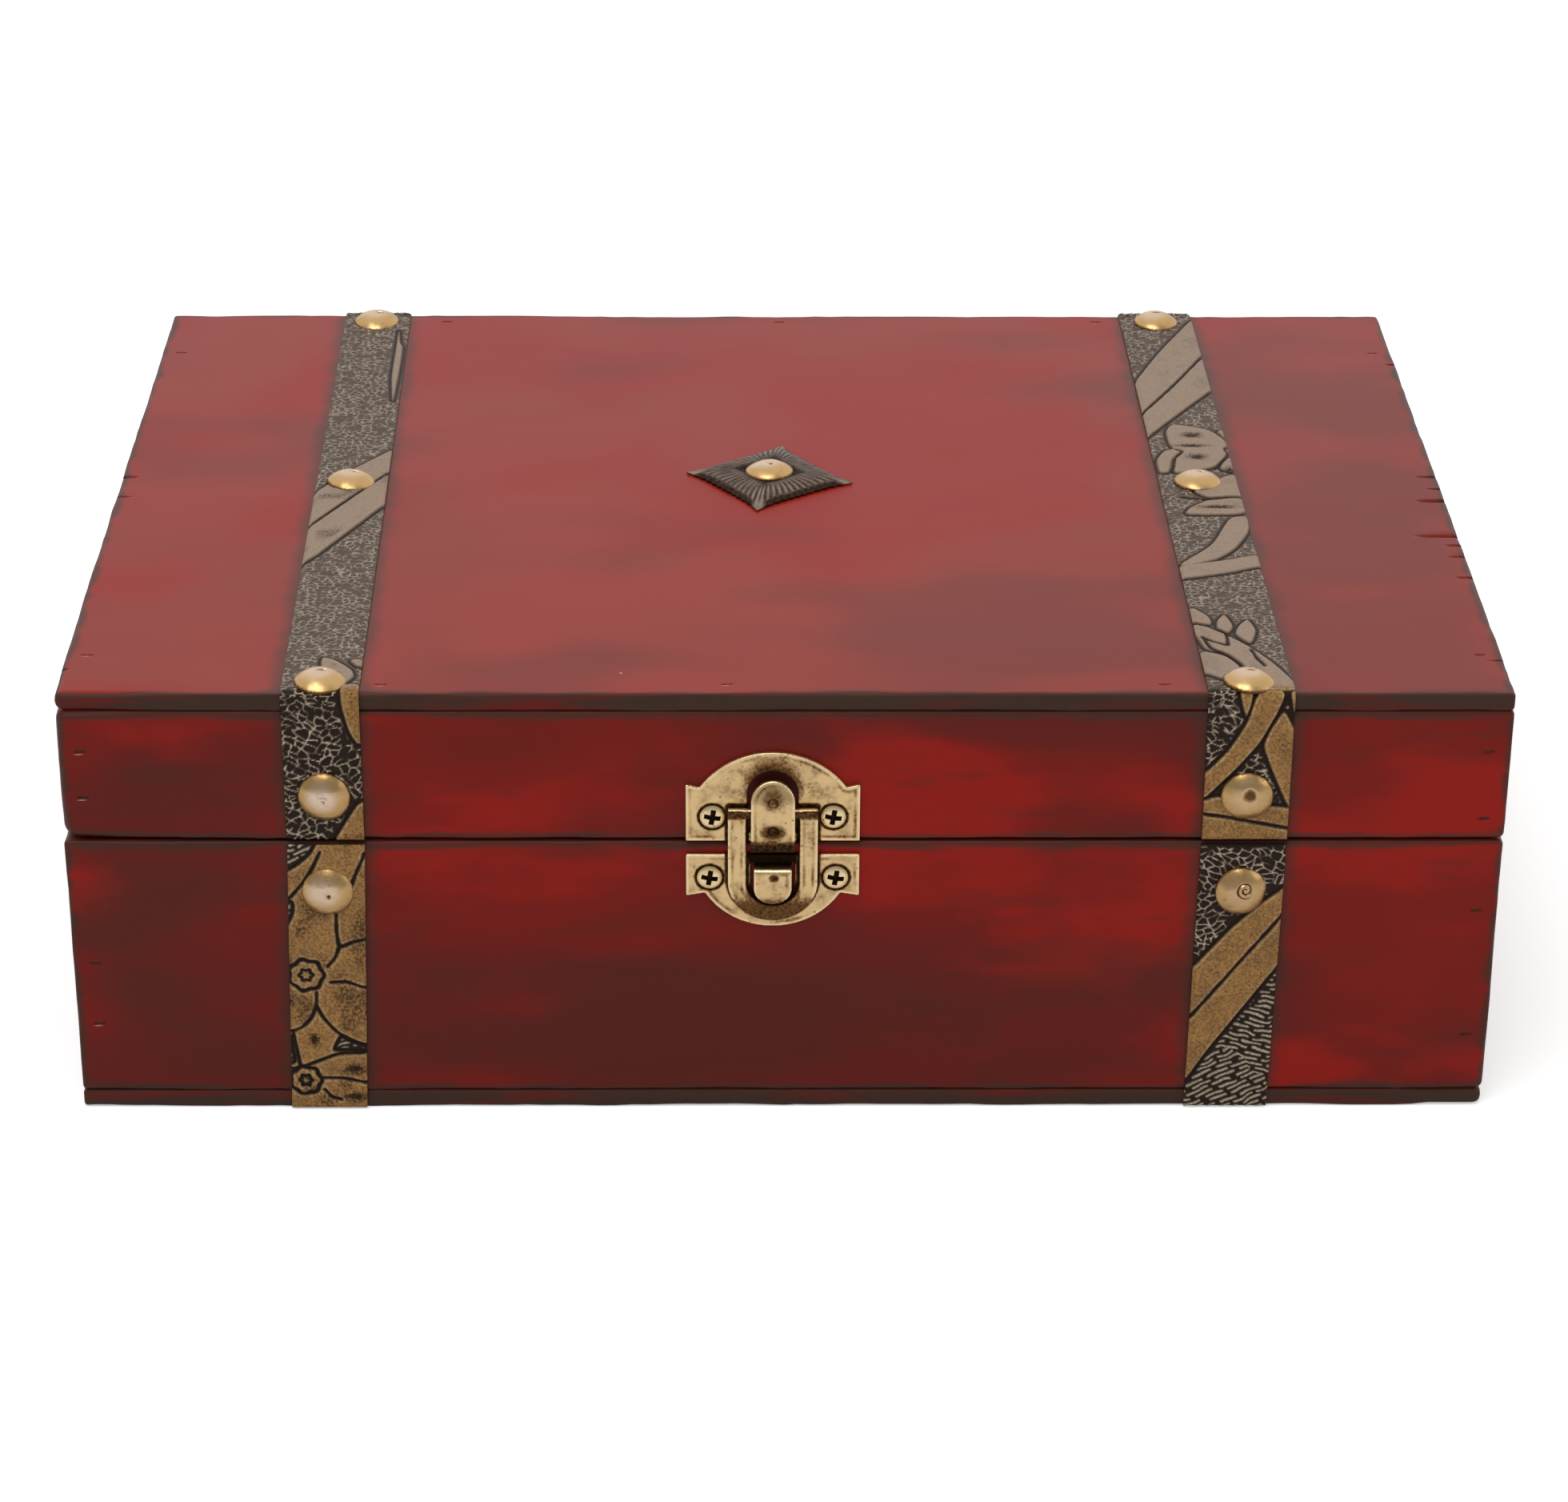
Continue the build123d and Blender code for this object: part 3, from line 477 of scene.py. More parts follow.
def flecks_effect():
    """Rare small specks, scattered one to a cell in a share of the cells."""
    tree, graph, given, result = shared_effect(
        "Flecks",
        [
            ("Place", "NodeSocketVector", None),
            ("Spacing", "NodeSocketFloat", 8.0),
            ("Radius", "NodeSocketFloat", 0.3),
            ("Share", "NodeSocketFloat", 0.3),
        ],
        [("Mask", "NodeSocketFloat")],
    )
    scaled = graph.node("ShaderNodeVectorMath", {"operation": "DIVIDE"})
    graph.feed(scaled.inputs[0], given["Place"])
    spread = graph.node("ShaderNodeCombineXYZ", None, {axis: given["Spacing"] for axis in "XYZ"})
    graph.feed(scaled.inputs[1], spread.outputs[0])
    cells = graph.node("ShaderNodeTexVoronoi", None, {"Vector": scaled.outputs[0], "Scale": 1.0})
    away = graph.times(cells.outputs["Distance"], given["Spacing"])
    speck = graph.step(away, given["Radius"], graph.times(given["Radius"], 0.5))
    draw = graph.node("ShaderNodeSeparateXYZ", None, {"Vector": cells.outputs["Color"]})
    picked = graph.math("LESS_THAN", draw.outputs[0], given["Share"])
    graph.feed(result["Mask"], graph.times(speck, picked))
    return tree


def aged_metal_effect(patches, flecks):
    """Metal with cloudy tarnish, dark dirt and painted shade in the corners and hollows, rubbed edges brightened
    partly as a painted highlight, and small pits.
    """
    tree, graph, given, result = shared_effect(
        "Aged Metal",
        [
            ("Place", "NodeSocketVector", None),
            ("Metal", "NodeSocketColor", (0.6, 0.5, 0.3, 1)),
            ("Worn", "NodeSocketColor", (0.7, 0.6, 0.5, 1)),
            ("Tarnish", "NodeSocketColor", (0.2, 0.1, 0.05, 1)),
            ("Dirt", "NodeSocketColor", (0.02, 0.01, 0.01, 1)),
            ("Tarnish Amount", "NodeSocketFloat", 0.4),
            ("Grime And Shade", "NodeSocketFloat", 0.0),
            ("Rubbed", "NodeSocketFloat", 0.0),
            ("Smooth", "NodeSocketFloat", 0.3),
            ("Pitted", "NodeSocketFloat", 1.0),
        ],
        [("Color", "NodeSocketColor"), ("Roughness", "NodeSocketFloat"), ("Height", "NodeSocketFloat")],
    )
    place = given["Place"]
    cloud = graph.group(patches, {"Place": place, "Size": (2.6, 2.6, 2.6), "Detail": 5.0, "Low": 0.4, "High": 0.68})
    fine = graph.group(patches, {"Place": place, "Size": (0.5, 0.5, 0.5), "Detail": 4.0, "Low": 0.35, "High": 0.7})
    pits = graph.group(flecks, {"Place": place, "Spacing": 1.1, "Radius": 0.2, "Share": 0.35})
    tarnished = graph.times(cloud["Mask"], given["Tarnish Amount"])
    tarnished = graph.times(tarnished, graph.line(fine["Mask"], 0.6, 0.4))
    held = graph.math("SUBTRACT", 1.0, graph.times(given["Rubbed"], 0.85))
    tarnished = graph.times(tarnished, held)
    bare = graph.mix(given["Rubbed"], given["Metal"], given["Worn"])
    tone = graph.mix(tarnished, bare, given["Tarnish"])
    pitted = graph.times(pits["Mask"], given["Pitted"])
    tone = graph.mix(graph.times(pitted, 0.7), tone, given["Tarnish"])
    # Painted shade and dirt: the grime mask darkens towards the tarnish and then towards the grime colour.
    darkened = graph.times(given["Grime And Shade"], graph.line(fine["Mask"], 0.35, 0.75))
    half_way = graph.mix(graph.step(darkened, 0.05, 0.5), tone, given["Tarnish"])
    graph.feed(result["Color"], graph.mix(graph.step(darkened, 0.35, 0.95), half_way, given["Dirt"]))
    dull = graph.line(tarnished, 0.35, given["Smooth"])
    dull = graph.line(graph.step(darkened, 0.1, 0.8), 0.3, dull)
    graph.feed(result["Roughness"], graph.line(fine["Mask"], 0.08, dull))
    height = graph.times(pitted, -0.05)
    grain = graph.times(given["Pitted"], 0.012)
    graph.feed(result["Height"], graph.line(fine["Mask"], grain, height))
    return tree


def new_material(name):
    """An empty material, its graph and its Principled shader."""
    material = bpy.data.materials.new(name)
    material.use_nodes = True
    tree = material.node_tree
    return material, Graph(tree), tree.nodes["Principled BSDF"].inputs


def bump(graph, shader, height, strength=1.0):
    """Feed the shader a normal from a height in millimetres."""
    made = graph.node("ShaderNodeBump", None, {"Strength": strength, "Distance": MM, "Height": height})
    graph.feed(shader["Normal"], made.outputs[0])


def wood_material(name, settings, effects, along):
    """Red stain rubbed over brown, with the grain along one axis."""
    material, graph, shader = new_material(name)
    place = graph.millimetres()
    top = graph.attribute("top")
    finer = graph.line(top, -0.7, 1.0)
    # On top the patches are longer in depth, where the view squeezes them
    deeper = graph.node("ShaderNodeCombineXYZ", None, {"X": 1.0, "Y": graph.line(top, -0.55, 1.0), "Z": 1.0})
    spread = graph.node("ShaderNodeVectorMath", {"operation": "MULTIPLY"})
    graph.feed(spread.inputs[0], place)
    graph.feed(spread.inputs[1], deeper.outputs[0])

    def patch(length, across, detail, low, high, shift=0.0):
        size = [across] * 3
        size[along] = length
        detail = graph.times(finer, detail)
        given = {"Place": spread.outputs[0], "Size": size, "Detail": detail, "Low": low, "High": high, "Shift": shift}
        return graph.group(effects["patches"], given)["Mask"]

    rubbed = graph.times(graph.attribute("rub"), 0.2)
    pooled = graph.times(rubbed, -1.0)
    tone = graph.mix(patch(75, 26, 3.0, 0.4, 0.62, pooled), settings.red, settings.deep)
    bright = graph.times(patch(36, 15, 4.0, 0.46, 0.68, rubbed), 0.95)
    # Painted light: the top turns towards the paler top colour, partly fading and partly a painted sheen and top
    # light.
    tone = graph.mix(graph.times(top, 0.55), tone, settings.faded_and_lit_top)
    tone = graph.mix(graph.times(bright, graph.line(top, -0.15, 1.0)), tone, settings.bright)
    calmer = graph.line(top, -0.2, 1.0)
    smudge = graph.times(patch(46, 11, 3.5, 0.5, 0.74, pooled), 0.46)
    tone = graph.mix(graph.times(smudge, calmer), tone, settings.brown)
    smear = graph.times(patch(18, 3.4, 3.0, 0.58, 0.76), 0.34)
    tone = graph.mix(graph.times(smear, graph.line(top, -0.85, 1.0)), tone, settings.brown)
    streaks = patch(34, 0.9, 3.0, 0.3, 0.75)
    tone = graph.mix(graph.times(streaks, graph.line(top, -0.02, 0.03)), tone, settings.brown)

    cloud = patch(14, 3, 4.0, 0.3, 0.7)
    near_edge = graph.line(cloud, -1.1, graph.attribute("edge"))
    tone = graph.mix(graph.times(graph.step(near_edge, 1.1, -0.2), 0.8), tone, settings.edge)
    near_strap = graph.line(cloud, -1.0, graph.attribute("halo"))
    tone = graph.mix(graph.times(graph.step(near_strap, 2.2, -0.5), 0.62), tone, settings.edge)
    band_tone = graph.mix(patch(30, 2.2, 3.0, 0.5, 0.7), settings.edge, settings.deep)
    tone = graph.mix(graph.attribute("band"), tone, band_tone)
    # The cut mask darkens the nicks and brad marks with dirt, and paints shade on the wood seen through the latch's
    # hole behind the tongue.
    tone = graph.mix(graph.attribute("cut"), tone, settings.hollow_dirt_and_shade)
    specks = graph.group(effects["flecks"], {"Place": place, "Spacing": 13.0, "Radius": 0.28, "Share": 0.16})["Mask"]
    chipped = graph.math("MAXIMUM", specks, graph.attribute("chip"))
    tone = graph.mix(graph.times(chipped, 0.8), tone, settings.chip)
    plain = graph.mix(streaks, settings.inside, settings.brown)
    plain = graph.mix(graph.times(patch(90, 3.5, 3.0, 0.4, 0.7), 0.4), settings.inside, plain)
    inside = graph.attribute("inside")
    graph.feed(shader["Base Color"], graph.mix(inside, tone, plain))

    rough = graph.line(cloud, graph.line(top, -0.11, 0.12), 0.34)
    rough = graph.line(graph.attribute("band"), 0.15, rough)
    graph.feed(shader["Roughness"], graph.line(inside, 0.3, rough))
    shader["Specular IOR Level"].default_value = 0.16
    height = graph.times(streaks, graph.line(top, -0.003, 0.004))
    bump(graph, shader, graph.line(patch(22, 7.0, 2.0, 0.3, 0.8), 0.02, height), 0.5)
    return material


def strap_material(settings, effects):
    """Tooled leather: a dark crackled ground with pale ridges under a raised tan pattern."""
    material, graph, shader = new_material("tooled_leather")
    place = graph.millimetres()
    raised, ridge, groove = (graph.attribute(name) for name in ("raised", "ridge", "groove"))
    cloud = graph.group(effects["patches"], {"Place": place, "Size": (4, 4, 4), "Detail": 4.0})["Mask"]
    grain = graph.group(
        effects["patches"], {"Place": place, "Size": (0.42, 0.42, 0.42), "Detail": 3.0, "Low": 0.36, "High": 0.64}
    )["Mask"]
    pores = graph.group(effects["flecks"], {"Place": place, "Spacing": 0.6, "Radius": 0.19, "Share": 0.5})["Mask"]
    top = graph.attribute("top")
    cut = graph.mix(top, settings.groove, settings.top_groove)
    tan = graph.mix(graph.times(cloud, 0.45), settings.raised, settings.worn)
    # Painted highlight: the pale rim colour along the pattern's edges.
    tan = graph.mix(graph.times(graph.attribute("rim"), 0.6), tan, settings.rim)
    # On top the tan, ground and ridges turn to their paler top colours, and grain and pores grow fainter: partly dust,
    # partly painted sheen.
    tan = graph.mix(graph.times(top, 0.88), tan, settings.top_raised)
    aged = graph.line(top, -0.75, 1.0)
    tan = graph.mix(graph.times(graph.times(grain, 0.4), aged), tan, cut)
    shaded = graph.times(graph.attribute("shade"), graph.line(grain, 0.6, 0.25))
    tan = graph.mix(shaded, tan, cut)
    tan = graph.mix(graph.times(graph.times(pores, 0.5), aged), tan, cut)
    faint = graph.times(ridge, graph.line(grain, 0.5, 0.55))
    dark = graph.mix(top, settings.ground, settings.top_ground)
    tone = graph.mix(raised, graph.mix(faint, dark, graph.mix(top, settings.ridge, settings.top_ridge)), tan)
    graph.feed(shader["Base Color"], graph.mix(groove, tone, cut))
    graph.feed(shader["Roughness"], graph.line(grain, 0.12, 0.42))
    shader["Specular IOR Level"].default_value = 0.1
    height = graph.line(pores, -0.05, graph.times(grain, 0.03))
    bump(graph, shader, height, 0.7)
    return material


def metal_material(name, metal, worn, settings, effects, smooth, tarnish, pitted=1.0, patina=None):
    """Brass, pewter or steel with age on it."""
    material, graph, shader = new_material(name)
    given = {
        "Place": graph.millimetres(),
        "Metal": metal,
        "Worn": worn,
        "Tarnish": patina or settings.patina,
        "Dirt": settings.grime_and_shade,
        "Tarnish Amount": tarnish,
        "Grime And Shade": graph.attribute("grime_and_shade"),
        "Rubbed": graph.attribute("rubbed"),
        "Smooth": smooth,
        "Pitted": pitted,
    }
    made = graph.group(effects["aged_metal"], given)
    graph.feed(shader["Base Color"], made["Color"])
    graph.feed(shader["Roughness"], made["Roughness"])
    shader["Metallic"].default_value = 1.0
    bump(graph, shader, made["Height"])
    return material


def make_materials(scene):
    """All materials of the chest by name, made once."""
    if "materials" in made_once:
        return made_once["materials"]
    patches, flecks = patches_effect(), flecks_effect()
    effects = {"patches": patches, "flecks": flecks, "aged_metal": aged_metal_effect(patches, flecks)}
    wood, strap, metal = scene.chest_wood, scene.chest_strap, scene.chest_metal
    made_once["materials"] = {
        "wood_x": wood_material("stained_wood_long", wood, effects, 0),
        "wood_y": wood_material("stained_wood_side", wood, effects, 1),
        "leather": strap_material(strap, effects),
        "brass": metal_material("antique_brass", metal.brass, metal.polish, metal, effects, 0.3, 0.6),
        "tack": metal_material("tack_brass", metal.gold, metal.crown, metal, effects, 0.26, 0.15, 0.25),
        "screw": metal_material("screw_brass", metal.brass, metal.polish, metal, effects, 0.28, 0.3),
        "pewter": metal_material("dull_pewter", metal.pewter, metal.glint, metal, effects, 0.4, 0.5, 1.0, metal.soot),
        "steel": metal_material("brad_steel", metal.steel, metal.steel, metal, effects, 0.5, 0.9),
    }
    return made_once["materials"]


made_once = {}


# Boards and panels
# The distance, in millimetres, given to wood that no strap lies near
NO_STRAP = 99.0
# How far in from the outer faces a surface counts as inside, in millimetres: less than a wall is thick
INSIDE_FROM = 5
# The axis that each set of brads runs along
BRAD_AXES = {"top_panel_brads": 2, "bottom_panel_brads": 2, "lid_corner_brads": 1, "base_corner_brads": 1}


def strap_edges(place):
    """How far each place on the wood is from the nearest strap, in millimetres; less than 0 under one."""
    depth_share = np.clip((place[:, 1] - front_y) / (back_y - front_y), 0, 1)
    height_share = np.clip((base_high[2] - place[:, 2]) / (base_high[2] - base_low[2]), 0, 1)
    gap = np.full(len(place), NO_STRAP)
    for side in ("left", "right"):
        width, front, back, foot = strap_course(side)
        middle = front + (back - front) * depth_share
        leaning = (foot - front) * height_share * (1 - depth_share)
        gap = np.minimum(gap, np.abs(place[:, 0] - middle - leaning) - width / 2)
    return gap


def strap_course(side):
    """A strap's width and the places of its middle line at the front, the back and the foot."""
    low, high = node_box(f"lid_strap_{side}")
    foot_low, foot_high = node_box(f"base_front_strap_{side}")
    back_low, back_high = node_box(f"base_back_strap_{side}")
    width = back_high[0] - back_low[0]
    back = (back_low[0] + back_high[0]) / 2
    front = low[0] + high[0] - back
    foot = foot_low[0] + foot_high[0] - front
    return width, front, back, foot


# Saw nicks in the top panel's side edges: side, place along Y, length, half width and depth of each
NICKS = (
    (1, 55.5, 2.2, 0.45, 0.8),
    (1, 4.1, 4.0, 0.5, 1.0),
    (1, -1.0, 3.4, 0.35, 0.5),
    (1, -6.1, 5.4, 0.75, 1.5),
    (1, -20.7, 7.4, 0.7, 1.6),
    (1, -24.5, 3.0, 0.45, 1.0),
    (1, -29.0, 3.4, 0.4, 0.8),
    (1, -37.2, 3.2, 0.45, 0.9),
    (1, -68.0, 3.6, 0.3, 0.5),
    (-1, 3.9, 3.0, 0.6, 1.2),
    (-1, -4.5, 3.6, 0.35, 0.6),
    (-1, -71.0, 1.6, 0.4, 0.6),
)
BRAD_SLIT = (1.0, 0.3)
SLIT_DEPTH = 0.42
# Where the stain was rubbed bright (more than 0) or pooled dark: place, reach and amount of each
RUBBED_PLACES = (
    ((-33, -80, 56), (22, 9, 7), 0.5),
    ((26, -80, 53), (17, 9, 9), 1.5),
    ((50, -80, 60), (14, 9, 8), 0.9),
    ((98, -80, 58), (16, 9, 12), 1.3),
    ((-36, -80, 41), (24, 9, 6), 0.9),
    ((34, -80, 40), (28, 9, 8), 0.9),
    ((96, -80, 22), (14, 9, 20), 0.1),
    ((-94, -80, 55), (16, 9, 14), -0.8),
    ((-96, -80, 22), (18, 9, 22), -1.2),
    ((0, -80, 12), (62, 9, 11), -1.3),
    ((28, 8, 72), (30, 26, 9), 1.7),
    ((-50, 62, 72), (26, 16, 9), 0.8),
    ((-94, -20, 72), (16, 40, 9), 0.4),
    ((95, -20, 72), (20, 72, 9), -1.2),
    ((-10, -64, 72), (54, 16, 9), -0.6),
    ((34, -62, 72), (34, 16, 9), -0.9),
)


def brad_marks(node, axis, face):
    """Where a board's brads come out of one face: the two places across the brad, in millimetres."""
    across = [other for other in range(3) if other != axis]
    marks = []
    for low, high in islands(node):
        if on_outside(axis, face, low, high, 1.0):
            marks.append(tuple((low[other] + high[other]) / 2 for other in across))
    return marks


def face_of(axis, face):
    """The place of the box's outer face on one axis."""
    low = (panel_low[0], front_y, floor_low[2])
    high = (panel_high[0], back_y, box_top)
    return high[axis] if face > 0 else low[axis]


def on_outside(axis, face, low, high, reach=0.5):
    """Whether a shape with these corners comes to the box's outer face, to within the reach in millimetres."""
    return abs((high if face > 0 else low)[axis] - face_of(axis, face)) < reach


def worn_board(node, settings, materials):
    """A board with rounded, worn edges, an uneven surface and its brad marks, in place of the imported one."""
    low, high = node_box(node)
    size = high - low
    flat = int(np.argmin(size))
    along = 1 if size[1] > size[0] else 0
    closer = [[], [], []]
    marks = []
    for brads, axis in BRAD_AXES.items():
        if axis != flat:
            continue
        for face in (-1, 1):
            across = [other for other in range(3) if other != axis]
            if not on_outside(axis, face, low, high):
                continue
            for spot in brad_marks(brads, axis, face):
                if all(low[a] < place < high[a] for a, place in zip(across, spot)):
                    marks.append((axis, face, across, spot))
                    closer[across[0]].append((spot[0], 1.4, 0.35))
                    closer[across[1]].append((spot[1], 0.6, 0.15))
    if node == "top_panel":
        closer[1] += [(nick[1], nick[3] + 0.15, 0.15) for nick in NICKS]
        closer[0] += [(side * (panel_high[0] - 4), 4, 0.6) for side in (-1, 1)]
    if flat != 0:
        for side in ("left", "right"):
            width, front, back, _ = strap_course(side)
            middle = (front + back) / 2
            closer[0] += [(middle + edge * width / 2, 3.2, 0.8) for edge in (-1, 1)]
    lines = [cut_lines(low[axis], high[axis], settings.cell, closer[axis]) for axis in range(3)]
    place, faces = box_shell(*lines)

    radius = settings.wear * (1 + 0.45 * soft_noise(place, 9.0, 3) + 0.3 * soft_noise(place, 2.4, 4))
    if node == "bottom_panel":
        corner = ease(14, 0, np.hypot(place[:, 0] - high[0], place[:, 1] - low[1]))
        radius = radius + 2.6 * corner
    if node in ("top_panel", "lid_front_board", "lid_left_board"):
        corner = ease(16, 0, np.hypot(place[:, 0] - panel_low[0], place[:, 1] - front_y))
        radius = radius + 0.9 * corner
    if node == "lid_front_board":
        radius = radius + 0.6 * ease(10, 0, np.hypot(place[:, 0] - low[0], place[:, 2] - low[2]))
    radius = np.minimum(radius, 0.45 * size.min())[:, None]
    core = np.clip(place, low + radius, high - radius)
    away = place - core
    length = np.linalg.norm(away, axis=1, keepdims=True)
    normal = away / np.maximum(length, 1e-9)
    worn = core + normal * np.minimum(length, radius)

    outer = np.zeros(len(place))
    for axis in range(3):
        for face in (-1, 1):
            if on_outside(axis, face, low, high):
                outer = np.maximum(outer, np.clip(face * normal[:, axis], 0, 1))
    dip = settings.wave * (0.5 + 0.5 * soft_noise(place, np.array([34.0, 34.0, 12.0]), 5))
    dip += 0.03 * (0.5 + 0.5 * soft_noise(place, 5.0, 6))
    worn = worn - normal * (outer * dip)[:, None]

    cut = np.zeros(len(place))
    chip = np.zeros(len(place))
    for axis, face, across, spot in marks:
        u = (place[:, across[0]] - spot[0]) / BRAD_SLIT[0]
        v = (place[:, across[1]] - spot[1]) / BRAD_SLIT[1]
        pit = ease(1.0, 0.45, np.hypot(u, v)) * (face * normal[:, axis] > 0.9)
        worn[:, axis] -= face * SLIT_DEPTH * pit
        cut = np.maximum(cut, pit)
        pale = ease(0.7, 0.3, np.hypot(u + 0.2, (v + 1.5) / 0.6)) * (face * normal[:, axis] > 0.9)
        chipped = scatter(np.array([[int(spot[0]), int(spot[1])]]), 3)[0] > 0.55
        chip = np.maximum(chip, 0.8 * pale * chipped)
    if node == "top_panel":
        for side, along_y, reach, half, depth in NICKS:
            inward = high[0] - place[:, 0] if side > 0 else place[:, 0] - low[0]
            wedge = np.clip(1 - np.abs(place[:, 1] - along_y) / half, 0, 1) * np.clip(1 - inward / reach, 0, 1)
            sunk = high[2] - depth * wedge
            worn[:, 2] = np.where(wedge > 0, np.minimum(worn[:, 2], sunk), worn[:, 2])
            worn[:, 0] -= side * 0.45 * wedge * ease(low[2], high[2], place[:, 2])
            cut = np.maximum(cut, ease(0.15, 0.6, wedge))
    inner = np.abs(worn[:, 0]) < panel_high[0] - INSIDE_FROM
    inner &= np.abs(worn[:, 1]) < back_y - INSIDE_FROM
    inner &= (worn[:, 2] > floor_high[2] - 0.6) & (worn[:, 2] < panel_low[2] + 0.6)
    away_from_edges = np.sort(np.minimum(place - low, high - place), axis=1)[:, 1]
    panel_side = np.zeros(len(place))
    if flat == 2:
        panel_side = ease(0.35, 0.8, np.abs(normal[:, :2]).max(1)) * (outer > 0)
    drift = place + 9 * np.stack([soft_noise(place, 22.0, 41 + axis) for axis in range(3)], -1)
    rub = sum(
        amount * np.exp(-((((drift - middle) / np.array(reach)) ** 2).sum(1)))
        for middle, reach, amount in RUBBED_PLACES
    )
    # Painted shade: the wood behind the latch's tongue, seen through the hole in its plate, is darkened as if in
    # shadow.
    if node == "lid_front_board":
        tongue_low, tongue_high = node_box("hasp")
        behind = np.abs(place[:, 0] - (tongue_low[0] + tongue_high[0]) / 2) / 4.6
        behind = np.maximum(behind, np.abs(place[:, 2] - tongue_high[2] - 1.2) / 7.4)
        cut = np.maximum(cut, 0.85 * ease(1.0, 0.8, behind) * (normal[:, 1] < -0.9))
    masks = {
        "rub": rub,
        "edge": away_from_edges,
        "halo": np.where(flat == 0, NO_STRAP, strap_edges(place)),
        "band": panel_side,
        "cut": cut,
        "chip": chip,
        "inside": inner.astype(float),
        "top": ease(0.6, 0.9, normal[:, 2]) * (outer > 0),
    }
    piece = make_piece(node + "_wood", worn, faces.tolist(), materials["wood_y" if along else "wood_x"], masks, False)
    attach(piece, frame["nodes"][node]["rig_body"])
    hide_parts(node)


BOARDS = (
    "top_panel",
    "bottom_panel",
    "base_front_board",
    "base_back_board",
    "base_left_board",
    "base_right_board",
    "lid_front_board",
    "lid_back_board",
    "lid_left_board",
    "lid_right_board",
)


class CHEST_OT_boards(bpy.types.Operator):
    """Make the stained boards and panels."""

    bl_idname = "chest.boards"
    bl_label = "Boards"

    def execute(self, context):
        materials = make_materials(context.scene)
        for node in BOARDS:
            worn_board(node, context.scene.chest_wood, materials)
        return {"FINISHED"}


# Straps. A pattern is written in millimetres: X across the chest, and a course that is 0 at the lid's front
# top edge, runs back over the top, and is less than 0 down the front.
LEFT_PATTERN = {
    "ground": [
        [(-78, -24), (-70.6, -24), (-72.2, -27.6), (-74.6, -29.8), (-78, -31.8)],
        [(-78, -35), (-75.2, -35.6), (-75.3, -38), (-76.6, -40.6), (-78, -40)],
        [(-69.2, -59.1), (-67.2, -60.4), (-64, -61.6), (-64, -62.4), (-67.6, -62.4), (-70.7, -62.4)],
        [(-78, -59.3), (-76.5, -59.3), (-76.3, -62), (-76.0, -64.4), (-78, -65.4)],
    ],
    "raised": [
        [(-67.0, 2.6), (-66.7, -2.5), (-65.7, -6.5), (-64.6, -8.6), (-63, -8.6), (-63, 2.6)],
        [(-63, -18.2), (-64.8, -18.6), (-66.8, -21.8), (-69, -25.6), (-63, -25.6)],
        [(-70.6, 12.4), (-68.2, 11.0), (-65.6, 7.7), (-65.1, 5.4), (-66.7, 2.2), (-69.2, 4.9), (-70.4, 8.6)],
        [(-66.4, 11.2), (-64.9, 8.8), (-63.6, 9.6), (-63.8, 11.6)],
        [(-78.8, 41.6), (-66, 69.6), (-63.5, 75), (-63.5, 98), (-66.6, 93.2), (-72.6, 84.6), (-78.8, 72.6)],
        [(-68.4, 152.4), (-67.7, 144.6), (-67.0, 142.4), (-66.9, 130), (-67.0, 114.6), (-68.1, 128), (-68.2, 140)],
    ],
    "base_all_raised": True,
    "smudged": 0.8,
    "cuts": [
        [(-71.0, -27.3), (-72.8, -31.2), (-75.6, -34.9), (-77.6, -36.6)],
        [(-64.2, -27.6), (-66.2, -32.4), (-67.6, -35.6)],
        [(-68.9, -38), (-69, -41), (-68.7, -43.9), (-66.6, -42.9), (-64, -42.3)],
        [(-68.7, -43.9), (-69.4, -45.8), (-70.6, -47.2)],
        [(-70.2, -50), (-68.0, -49.8), (-66.4, -50.4), (-64, -51.3)],
        [(-72.5, -51.8), (-72.6, -54.2), (-73.4, -56.2), (-75, -58.1), (-78, -59.2)],
        [(-72.6, -54.2), (-71.6, -56.4), (-69.6, -58.9), (-67, -60.5), (-64, -61.7)],
        [(-76.4, -58.9), (-76.0, -61.9), (-75.6, -64.8)],
        [(-78, -65.7), (-74.8, -65), (-72.4, -63.9), (-69.6, -62.7), (-64, -62.5)],
        [(-71.9, -67.1), (-69.4, -67.1), (-67.4, -67.4), (-64, -68.4)],
        [(-71.9, -69.2), (-70.9, -70.6), (-69.4, -71.0)],
        [(-79, 57.4), (-74.8, 66.2), (-69.6, 76.6), (-63, 89.4)],
    ],
    "dots": [(-73.2, -60.2, 0.65, 1.0), (-77.0, -53.4, 0.8, 0.6), (-67.0, -65.5, 1.5, 0.7), (-67.2, -70.5, 1.5, 0.65)],
    "rosettes": [(-74.0, -48.7, 2.65), (-74.8, -67.5, 2.4)],
}
